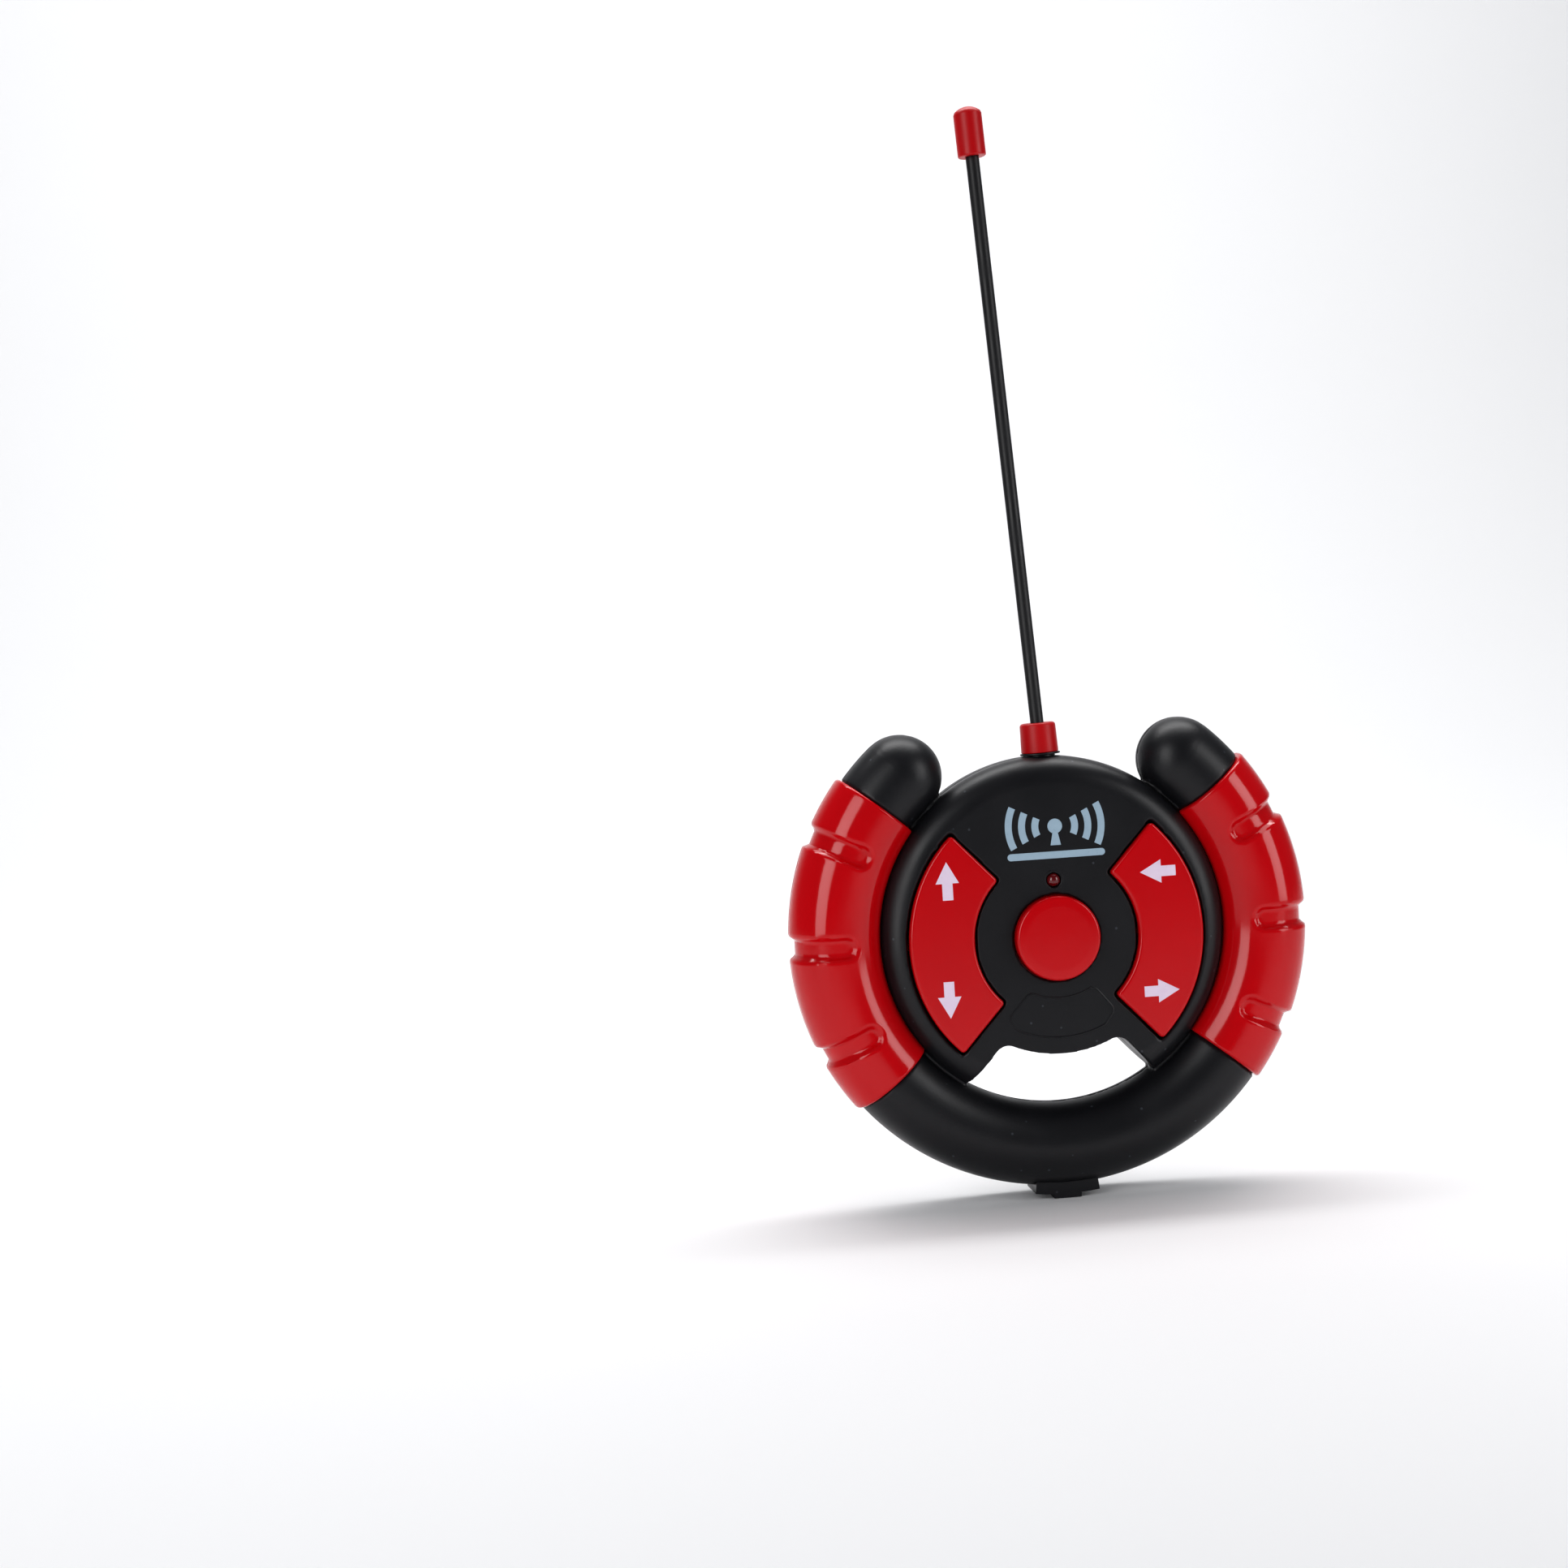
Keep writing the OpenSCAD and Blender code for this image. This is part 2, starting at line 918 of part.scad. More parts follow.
// A straight run of wire between two points.
module wire_run(from, to, r) {
    run = to - from;
    translate(from)
        rotate([0, acos(run[2] / norm(run)), atan2(run[1], run[0])])
            cylinder(r = r, h = norm(run), $fn = 24);
}

module battery_wires() {
    color("#a01818")
        in_place()
            for (side = [-1, 1])
                wire_run([side * 28.2, cell_y[1] + 1, -2.1], [side * 26.5, 20, -0.75], 0.7);
}

module battery_door() {
    color(black)
        in_place()
            difference() {
                union() {
                    box_block([-door_half_w + door_gap, door_low + door_gap],
                        [door_half_w - door_gap, door_high - door_gap], 3.3, -door_z, ledge_z - 0.05);
                    for (x = tab_x)
                        translate([x - tab_w / 2, door_low - 1.1, ledge_z + 0.25])
                            cube([tab_w, 3, 1.2]);
                    for (x = tab_x)
                        translate([x - tab_w / 2, door_low + door_gap + 0.1, ledge_z - 0.5])
                            cube([tab_w, 1.3, 1.9]);
                }
                translate([0, door_screw_y, -door_z - 1])
                    cylinder(r = 1.5, h = 4);
                translate([0, door_screw_y, -door_z - 1])
                    cylinder(r = 2.9, h = 2);
                for (i = [0:5])
                    translate([-9, -13 + i * 2.2, -door_z - 0.1])
                        cube([18, 0.9, 0.7]);
            }
}

module battery_door_screw() {
    color("silver")
        in_place()
            translate([0, door_screw_y, 0])
                pan_screw(-door_z + 1.0 - 0.05, ledge_z + 3.6, screw_r, 2.6, 1.2);
}

// Threaded neck, clamped in the seam at the top of the hub.
module antenna_neck() {
    color(black)
        in_place()
            at_neck()
                difference() {
                    union() {
                        translate([0, 0, -5])
                            cylinder(r = neck_r, h = neck_top + 5);
                        translate([0, 0, -5])
                            cylinder(r = 6, h = 1.6);
                        translate([0, 0, 0.25])
                            cylinder(r = 5.7, h = 0.5);
                    }
                    translate([0, 0, -6])
                        cylinder(r = 1.5, h = neck_top + 7);
                }
}

module antenna_lead() {
    color("#303034")
        in_place()
            wire_run([2.5, 34, -0.65], [3.9, 44.4, -0.65], 0.6);
}

module antenna_collar() {
    low = 0.85;
    color(red)
        in_place()
            at_neck()
                difference() {
                    intersection() {
                        translate([0, 0, low])
                            rotate_extrude()
                                hub_section(collar_r, collar_h, 1);
                        cylinder(r1 = collar_r, r2 = collar_r - 0.27, h = collar_h + 2, $fn = 128);
                    }
                    translate([0, 0, low - 1])
                        cylinder(r = neck_r + thread_play, h = 7.2 - low + 1);
                    cylinder(r = rod_r + 0.25, h = 20);
                }
}

// Frame of the rod, which leans a little more than the collar.
module at_rod() {
    at_neck()
        translate([0, 0, flange_z])
            rotate([0, -rod_lean, 0])
                children();
}

module antenna_rod() {
    color(black)
        in_place()
            at_rod()
                difference() {
                    union() {
                        translate([0, 0, -0.2])
                            cylinder(r = 3.9, h = 0.4);
                        translate([0, 0, -0.2])
                            cylinder(r = rod_r, h = rod_length + 6);
                    }
                    translate([0, 0, -1])
                        cylinder(r = core_wire_r, h = rod_length + 4);
                }
}

// Steel wire inside the rod; its lower end reaches into the neck.
module antenna_core() {
    color("silver")
        in_place()
            at_rod()
                translate([0, 0, -5])
                    cylinder(r = core_wire_r, h = rod_length + 7);
}

module antenna_cap() {
    color(red)
        in_place()
            at_rod()
                translate([0, 0, rod_length])
                    difference() {
                        rotate_extrude()
                            intersection() {
                                square([cap_r, cap_length]);
                                union() {
                                    square([cap_r, cap_length - 2.6]);
                                    translate([0, cap_length - 5.4])
                                        circle(r = 5.4);
                                }
                            }
                        translate([0, 0, -1])
                            cylinder(r = rod_r, h = 6.8);
                    }
}

front_shell();
rear_shell();
stand_foot();
left_grip_front();
left_grip_rear();
right_grip_front();
right_grip_rear();
shell_screws();
grip_screws();
left_rocker();
right_rocker();
centre_button();
rubber_keypad();
circuit_board();
board_screws();
encoder_chip();
crystal();
tuning_coil();
electrolytic_capacitors();
power_transistors();
resistors();
status_lamp();
battery_cells();
battery_springs();
battery_plates();
battery_wires();
battery_door();
battery_door_screw();
antenna_neck();
antenna_lead();
antenna_collar();
antenna_rod();
antenna_core();
antenna_cap();
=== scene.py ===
"""Looks of a steering-wheel shaped toy radio transmitter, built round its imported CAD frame.

Every shape is worked out in millimetres in the wheel's own plane: x to the right, y up and
z out of the front face, with the origin at the wheel's centre. Bench.to_row stands that
plane up in the row frame, in metres.
"""

import json
import logging
import math
from collections.abc import Iterable, Sequence
from dataclasses import dataclass, field
from enum import Enum

import bmesh
import bpy
import numpy as np
from mathutils import Matrix, Vector

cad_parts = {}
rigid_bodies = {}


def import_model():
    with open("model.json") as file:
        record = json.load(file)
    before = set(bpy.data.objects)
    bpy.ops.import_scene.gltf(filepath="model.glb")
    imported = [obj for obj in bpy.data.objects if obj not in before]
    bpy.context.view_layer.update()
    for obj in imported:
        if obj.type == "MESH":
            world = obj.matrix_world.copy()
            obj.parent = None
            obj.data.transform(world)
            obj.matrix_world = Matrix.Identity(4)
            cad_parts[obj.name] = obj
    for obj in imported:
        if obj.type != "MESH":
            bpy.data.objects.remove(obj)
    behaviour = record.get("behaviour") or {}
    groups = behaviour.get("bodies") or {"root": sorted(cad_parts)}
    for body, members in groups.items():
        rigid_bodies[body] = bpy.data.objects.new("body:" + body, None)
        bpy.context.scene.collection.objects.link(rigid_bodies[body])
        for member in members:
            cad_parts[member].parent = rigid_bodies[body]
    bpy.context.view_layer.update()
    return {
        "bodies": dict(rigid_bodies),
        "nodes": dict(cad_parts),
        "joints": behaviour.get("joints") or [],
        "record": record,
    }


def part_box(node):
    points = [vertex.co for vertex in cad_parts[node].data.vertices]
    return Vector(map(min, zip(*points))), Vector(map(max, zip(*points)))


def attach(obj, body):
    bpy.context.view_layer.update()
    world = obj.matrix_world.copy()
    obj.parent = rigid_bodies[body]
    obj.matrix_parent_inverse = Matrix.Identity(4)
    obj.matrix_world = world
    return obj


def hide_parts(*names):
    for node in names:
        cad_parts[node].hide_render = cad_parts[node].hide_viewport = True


MM = 0.001
TINY = 1e-6  # keeps a length from being zero where it divides
log = logging.getLogger("transmitter")

Point2 = tuple[float, float]


class Body(Enum):
    """The CAD bodies that a piece can ride on."""

    MAIN = "body"
    LEFT_ROCKER = "left_rocker"
    RIGHT_ROCKER = "right_rocker"
    BUTTON = "centre_button"
    DOOR = "battery_door"
    DOOR_SCREW = "door_screw"
    ANTENNA = "antenna"
    COLLAR = "antenna_collar"


class Side(Enum):
    """A side of the wheel; the value is the sign of x there."""

    LEFT = -1
    RIGHT = 1


class Half(Enum):
    """Half of a clam-shell part; the value is the sign of z there."""

    FRONT = 1
    REAR = -1


# ---------------------------------------------------------------- finishes


def linear(hex_colour: str) -> tuple[float, float, float, float]:
    """Turns an sRGB hex colour into linear RGBA.

    Args:
        hex_colour: Six hex digits after a hash.

    Returns:
        Red, green, blue and an alpha of 1.
    """
    parts = [int(hex_colour[i:i + 2], 16) / 255 for i in (1, 3, 5)]
    red, green, blue = (c / 12.92 if c <= 0.04045 else ((c + 0.055) / 1.055) ** 2.4 for c in parts)
    return red, green, blue, 1.0


def add_node(tree: bpy.types.NodeTree, kind: str, inputs: dict | None = None, **settings) -> bpy.types.Node:
    """Adds a node, sets its properties, and fills or links its inputs.

    Args:
        tree: The material's node tree.
        kind: The node's type name.
        inputs: Input name or index to a value, or to the output socket that feeds it.
        **settings: Properties of the node.

    Returns:
        The new node.
    """
    node = tree.nodes.new(kind)
    for name, value in settings.items():
        setattr(node, name, value)
    for key, value in (inputs or {}).items():
        if isinstance(value, bpy.types.NodeSocket):
            tree.links.new(value, node.inputs[key])
        else:
            node.inputs[key].default_value = value
    return node


MIX_A, MIX_B, MIX_COLOUR = 6, 7, 2  # sockets of a Mix node that mixes colours


@dataclass(frozen=True)
class Finish:
    """A surface: two close colours that drift into each other, and a fine grain.

    Attributes:
        name: The material's name.
        colour: Main colour, as sRGB hex.
        drift: Colour that the main one drifts to, as sRGB hex.
        drift_mm: Size of the patches of drift.
        rough: Lowest and highest roughness.
        grain_mm: Size of the grain.
        grain_depth_mm: Height of the grain.
        metallic: 1 for a bare metal.
        ior: Index of refraction.
        speck: Colour of small specks, or None.
        speck_mm: Mean distance between specks.
        coat: Weight of a clear gloss on top.
        glow: Share of light scattered below the surface.
        specular: Strength of the mirror reflection; 0.5 is the bare index of refraction.
    """

    name: str
    colour: str
    drift: str
    drift_mm: float
    rough: tuple[float, float]
    grain_mm: float
    grain_depth_mm: float
    metallic: float = 0.0
    ior: float = 1.5
    speck: str | None = None
    speck_mm: float = 4.0
    coat: float = 0.0
    glow: float = 0.0
    specular: float = 0.5

    def build(self) -> bpy.types.Material:
        """Makes the material.

        Returns:
            The new material.
        """
        material = bpy.data.materials.new(self.name)
        material.use_nodes = True
        tree = material.node_tree
        tree.nodes.clear()
        place = add_node(tree, "ShaderNodeTexCoord").outputs["Object"]
        place_mm = add_node(
            tree, "ShaderNodeVectorMath", {0: place, "Scale": 1 / MM}, operation="SCALE"
        ).outputs[0]
        patches = add_node(
            tree, "ShaderNodeTexNoise", {"Vector": place_mm, "Scale": 1 / self.drift_mm, "Detail": 3.0}
        ).outputs["Fac"]
        grain = add_node(
            tree, "ShaderNodeTexNoise", {"Vector": place_mm, "Scale": 1 / self.grain_mm, "Detail": 2.0}
        ).outputs["Fac"]
        rough = add_node(tree, "ShaderNodeMapRange", {
            "Value": patches, "From Min": 0.3, "From Max": 0.7,
            "To Min": self.rough[0], "To Max": self.rough[1],
        }).outputs["Result"]
        relief = add_node(tree, "ShaderNodeBump", {
            "Height": grain, "Strength": 0.6, "Distance": self.grain_depth_mm * MM,
        }).outputs["Normal"]
        shader = add_node(tree, "ShaderNodeBsdfPrincipled", {
            "Base Color": self.colour_from(tree, place_mm, patches),
            "Roughness": rough,
            "Normal": relief,
            "Metallic": self.metallic,
            "IOR": self.ior,
            "Specular IOR Level": self.specular,
            "Coat Weight": self.coat,
            "Subsurface Weight": self.glow,
            "Subsurface Radius": (2.0, 0.4, 0.3),
            "Subsurface Scale": MM,
        })
        add_node(tree, "ShaderNodeOutputMaterial", {"Surface": shader.outputs["BSDF"]})
        return material

    def colour_from(
        self, tree: bpy.types.NodeTree, place_mm: bpy.types.NodeSocket, patches: bpy.types.NodeSocket
    ) -> bpy.types.NodeSocket:
        """Makes the colour: the drift between two shades, then the specks.

        Args:
            tree: The material's node tree.
            place_mm: Place on the object, in millimetres.
            patches: Slow noise from 0 to 1.

        Returns:
            The colour's socket.
        """
        colour = add_node(tree, "ShaderNodeMix", {
            0: patches, MIX_A: linear(self.colour), MIX_B: linear(self.drift),
        }, data_type="RGBA").outputs[MIX_COLOUR]
        if self.speck is None:
            return colour
        cells = add_node(tree, "ShaderNodeTexVoronoi", {"Vector": place_mm, "Scale": 1 / self.speck_mm})
        # a speck is about a sixteenth of the distance between two
        dots = add_node(tree, "ShaderNodeMapRange", {
            "Value": cells.outputs["Distance"],
            "From Min": 0.05, "From Max": 0.08, "To Min": 0.55, "To Max": 0.0,
        }).outputs["Result"]
        return add_node(tree, "ShaderNodeMix", {
            0: dots, MIX_A: colour, MIX_B: linear(self.speck),
        }, data_type="RGBA").outputs[MIX_COLOUR]


@dataclass(frozen=True)
class BandedFinish(Finish):
    """A finish with straight bands of a second colour across it.

    Attributes:
        band: The bands' colour, as sRGB hex.
        band_mm: Distance from one band to the next.
        across: Axis that the bands cross: X, Y or Z.
        share: How wide a band is, from 0 to 1.
        waver: How much the bands waver.
    """

    band: str = "#FFFFFF"
    band_mm: float = 1.0
    across: str = "X"
    share: float = 0.5
    waver: float = 0.0

    def colour_from(
        self, tree: bpy.types.NodeTree, place_mm: bpy.types.NodeSocket, patches: bpy.types.NodeSocket
    ) -> bpy.types.NodeSocket:
        """Lays the bands over the plain finish's colour.

        Args:
            tree: The material's node tree.
            place_mm: Place on the object, in millimetres.
            patches: Slow noise from 0 to 1.

        Returns:
            The colour's socket.
        """
        plain = super().colour_from(tree, place_mm, patches)
        # a wave texture of scale 1 repeats every pi / 10 units
        wave = add_node(tree, "ShaderNodeTexWave", {
            "Vector": place_mm, "Scale": math.pi / 10 / self.band_mm, "Distortion": self.waver,
        }, bands_direction=self.across).outputs["Fac"]
        edge = 1 - self.share
        mask = add_node(tree, "ShaderNodeMapRange", {
            "Value": wave, "From Min": edge - 0.06, "From Max": edge + 0.06,
        }).outputs["Result"]
        return add_node(tree, "ShaderNodeMix", {
            0: mask, MIX_A: plain, MIX_B: linear(self.band),
        }, data_type="RGBA").outputs[MIX_COLOUR]


class Finishes:
    """All the finishes of the transmitter; each material is made when it is first asked for."""

    # ABS moulded in a spark-eroded tool: a satin skin with a fine even grain and a little dust
    black_abs = Finish("moulded_abs_black", "#121215", "#17171B", 14.0, (0.36, 0.44), 0.55, 0.032,
                       ior=1.54, speck="#4A4E55", speck_mm=5.5, specular=0.36)
    # ABS from a polished tool: sharp reflections that waver slightly where the wall shrank
    red_abs = Finish("polished_abs_red", "#C40311", "#B9020E", 22.0, (0.09, 0.15), 6.0, 0.02,
                     ior=1.54, specular=0.36)
    # ABS from a blasted tool: the same red, with soft broad highlights
    red_satin = Finish("satin_abs_red", "#BE0411", "#B2030E", 9.0, (0.34, 0.44), 0.3, 0.01,
                       ior=1.54, specular=0.3)
    # polyethylene drawn over steel wire: dull black with long faint drawing marks
    black_rod = Finish("polyethylene_sleeve_black", "#0F0F11", "#17171A", 6.0, (0.42, 0.54), 0.25, 0.01,
                       ior=1.51)
    # pad-printed ink: dull, with tiny pinholes where the pad lifted
    arrow_ink = Finish("pad_print_ink_pale", "#E6D6E8", "#DCC9DF", 3.0, (0.45, 0.6), 0.2, 0.01,
                       speck="#C99AA4", speck_mm=1.3)
    mark_ink = Finish("pad_print_ink_blue_grey", "#A2B8C7", "#93AABB", 2.5, (0.45, 0.6), 0.2, 0.01,
                      speck="#3C454D", speck_mm=1.1)
    # steel wire formed and zinc plated: bright grey with a faint mottle
    screw_steel = Finish("zinc_plated_steel", "#B9BCC0", "#9DA1A6", 1.6, (0.26, 0.42), 0.25, 0.01,
                         metallic=1.0)
    nickel = Finish("nickel_plated_steel", "#C6C3BA", "#B3AFA4", 2.2, (0.18, 0.32), 0.3, 0.008, metallic=1.0)
    tinned_can = Finish("tinned_steel_can", "#B8BABB", "#A4A6A8", 2.0, (0.22, 0.38), 0.4, 0.01, metallic=1.0)
    # glass-epoxy board under green solder mask: tracks show as paler bands
    board = BandedFinish("solder_mask_green", "#17592F", "#1C6437", 8.0, (0.28, 0.4), 0.5, 0.015,
                         band="#2C8049", band_mm=1.9, across="DIAGONAL", share=0.35, waver=1.6)
    # epoxy moulded round a chip: matt black with a fine bite
    epoxy = Finish("moulded_epoxy_black", "#1B1B1D", "#242427", 1.5, (0.5, 0.62), 0.12, 0.01)
    # PVC shrunk over an aluminium can: glossy navy with a printed pale stripe
    sleeve = BandedFinish("pvc_shrink_sleeve_navy", "#1A2A57", "#20336A", 2.0, (0.25, 0.35), 0.6, 0.01,
                          band="#A9B4CC", band_mm=7.0, across="X", share=0.12)
    # lacquered resistor body with its colour rings
    lacquer = BandedFinish("resistor_lacquer_tan", "#C8A679", "#BC9766", 0.8, (0.35, 0.45), 0.2, 0.008,
                           band="#6B2D16", band_mm=0.85, across="Z", share=0.34)
    # silicone pressed into a sheet: dull grey, slightly cloudy
    silicone = Finish("silicone_rubber_grey", "#56585C", "#606267", 5.0, (0.5, 0.65), 0.4, 0.015,
                      ior=1.41, glow=0.1)
    # tinted acrylic dome: dark red that glows a little where light enters
    lamp = Finish("tinted_acrylic_dark_red", "#6A0A12", "#560810", 1.5, (0.06, 0.12), 0.8, 0.004,
                  ior=1.49, coat=0.4, glow=0.25)
    # printed film shrunk on a dry cell
    label = Finish("label_film_charcoal", "#2A2D33", "#33373E", 6.0, (0.3, 0.38), 0.3, 0.002)
    # PVC insulation on a stranded wire
    wire_red = Finish("pvc_insulation_red", "#9E1618", "#8A1113", 2.0, (0.35, 0.45), 0.3, 0.01)
    wire_black = Finish("pvc_insulation_black", "#18181A", "#222225", 2.0, (0.35, 0.45), 0.3, 0.01)

    def __init__(self) -> None:
        """Starts with no material made."""
        self._made: dict[str, bpy.types.Material] = {}

    def material(self, finish: Finish) -> bpy.types.Material:
        """Gives a finish's material.

        Args:
            finish: One of the finishes above.

        Returns:
            Its material, made once.
        """
        if finish.name not in self._made:
            self._made[finish.name] = finish.build()
        return self._made[finish.name]


# ---------------------------------------------------------------- shapes


def turned(place: Matrix, radius: float, height: float, steps: int) -> list[Vector]:
    """Gives one ring of points round a place's z axis.

    Args:
        place: The axis, as a matrix.
        radius: The ring's radius.
        height: The ring's height along the axis.
        steps: Number of points.

    Returns:
        The ring's points.
    """
    turns = [math.tau / steps * i for i in range(steps)]
    return [place @ Vector((radius * math.cos(a), radius * math.sin(a), height)) for a in turns]


def rounded(corners: Sequence[tuple[float, float, float]], steps: int = 6) -> list[Point2]:
    """Rounds the corners of an open line.

    Args:
        corners: Each corner's two coordinates and its radius, which is 0 for a sharp one.
        steps: Pieces in each arc.

    Returns:
        The line's points.
    """
    line: list[Point2] = []
    for i, (x, y, radius) in enumerate(corners):
        here = Vector((x, y))
        if radius <= 0 or i in (0, len(corners) - 1):
            line.append((x, y))
            continue
        back = (Vector(corners[i - 1][:2]) - here).normalized()
        ahead = (Vector(corners[i + 1][:2]) - here).normalized()
        half = back.angle(ahead) / 2
        reach = radius / math.tan(half)
        centre = here + (back + ahead).normalized() * (radius / math.sin(half))
        start = here + back * reach - centre
        end = here + ahead * reach - centre
        sweep = start.angle_signed(end)
        for k in range(steps + 1):
            # angle_signed counts clockwise turns as positive
            arm = Matrix.Rotation(-sweep * k / steps, 2) @ start
            line.append(tuple(centre + arm))
    return line


class Shape:
    """A mesh in the making."""

    def __init__(self) -> None:
        """Starts empty."""
        self.points: list[Vector] = []
        self.faces: list[tuple[int, ...]] = []

    def loft(
        self, rings: Sequence[Sequence[Vector]], closed: bool = False, looped: bool = False
    ) -> "Shape":
        """Joins rings that have as many points each.

        Args:
            rings: The rings, in order.
            closed: Whether the first and the last ring are filled.
            looped: Whether the last ring joins the first.

        Returns:
            This shape.
        """
        base = len(self.points)
        count = len(rings[0])
        for ring in rings:
            self.points.extend(Vector(p) for p in ring)
        spans = len(rings) if looped else len(rings) - 1
        for i in range(spans):
            low = base + i * count
            high = base + (i + 1) % len(rings) * count
            for k in range(count):
                after = (k + 1) % count
                self.faces.append((low + k, low + after, high + after, high + k))
        if closed:
            self.faces.append(tuple(reversed(range(base, base + count))))
            last = base + (len(rings) - 1) * count
            self.faces.append(tuple(range(last, last + count)))
        return self

    def lathe(
        self, place: Matrix, profile: Sequence[Point2], steps: int = 64, looped: bool = False
    ) -> "Shape":
        """Turns a profile round a place's z axis.

        Args:
            place: The axis, as a matrix.
            profile: Radius and height of each point, from one end to the other.
            steps: Number of points round.
            looped: Whether the profile closes on itself, as a ring's does.

        Returns:
            This shape.
        """
        rings = [turned(place, max(r, 1e-4), z, steps) for r, z in profile]
        return self.loft(rings, closed=not looped, looped=looped)

    def tube(
        self, path: Sequence[Vector], radius: float, sides: int = 12, looped: bool = False
    ) -> "Shape":
        """Sweeps a round section along a path.

        Args:
            path: Points that the tube's middle passes through.
            radius: The section's radius.
            sides: Points round the section.
            looped: Whether the path closes on itself.

        Returns:
            This shape.
        """
        rings = []
        across: Vector | None = None
        count = len(path)
        for i, here in enumerate(path):
            before = path[i - 1] if looped or i > 0 else here
            after = path[(i + 1) % count] if looped or i < count - 1 else here
            along = (after - before).normalized()
            if across is None:
                across = along.orthogonal().normalized()
            across = (across - along * across.dot(along)).normalized()
            other = along.cross(across)
            angles = [math.tau * k / sides for k in range(sides)]
            rings.append([here + radius * (math.cos(a) * across + math.sin(a) * other) for a in angles])
        return self.loft(rings, closed=not looped, looped=looped)

    def slab(self, outline: Sequence[Point2], low: float, high: float) -> "Shape":
        """Raises a flat outline between two heights.

        Args:
            outline: The outline's points, in the wheel's plane.
            low: Height of its underside.
            high: Height of its face.

        Returns:
            This shape.
        """
        return self.loft([[Vector((x, y, z)) for x, y in outline] for z in (low, high)], closed=True)


@dataclass(frozen=True)
class WheelSizes:
    """Sizes that several sub-assemblies share, in millimetres and degrees.

    Attributes:
        rim_r: Radius of the rim's middle line.
        tube_r: Radius of the rim's black tube.
        horn_angle: Height of the horns' round ends, as an angle round the wheel.
        hub_r: Radius of the hub.
        face_z: Height of the hub's flat face.
        shoulder_r: Radius of the hub's rounded shoulder.
        hub_drop: How far the controls' centre lies below the wheel's.
        grip_half: Half of the angle that a grip covers.
        web_half: Half thickness of the web between the hub and the rim.
        neck_x: Place of the antenna's neck to the right of the middle.
        neck_lean: Lean of the neck.
        rod_lean: Further lean of the rod.
    """

    rim_r: float = 61.6
    tube_r: float = 12.0
    horn_angle: float = 49.0
    hub_r: float = 49.9
    face_z: float = 11.0
    shoulder_r: float = 8.0
    hub_drop: float = 1.3
    grip_half: float = 39.0
    web_half: float = 2.5
    neck_x: float = 0.45
    neck_lean: float = 2.0
    rod_lean: float = 1.3


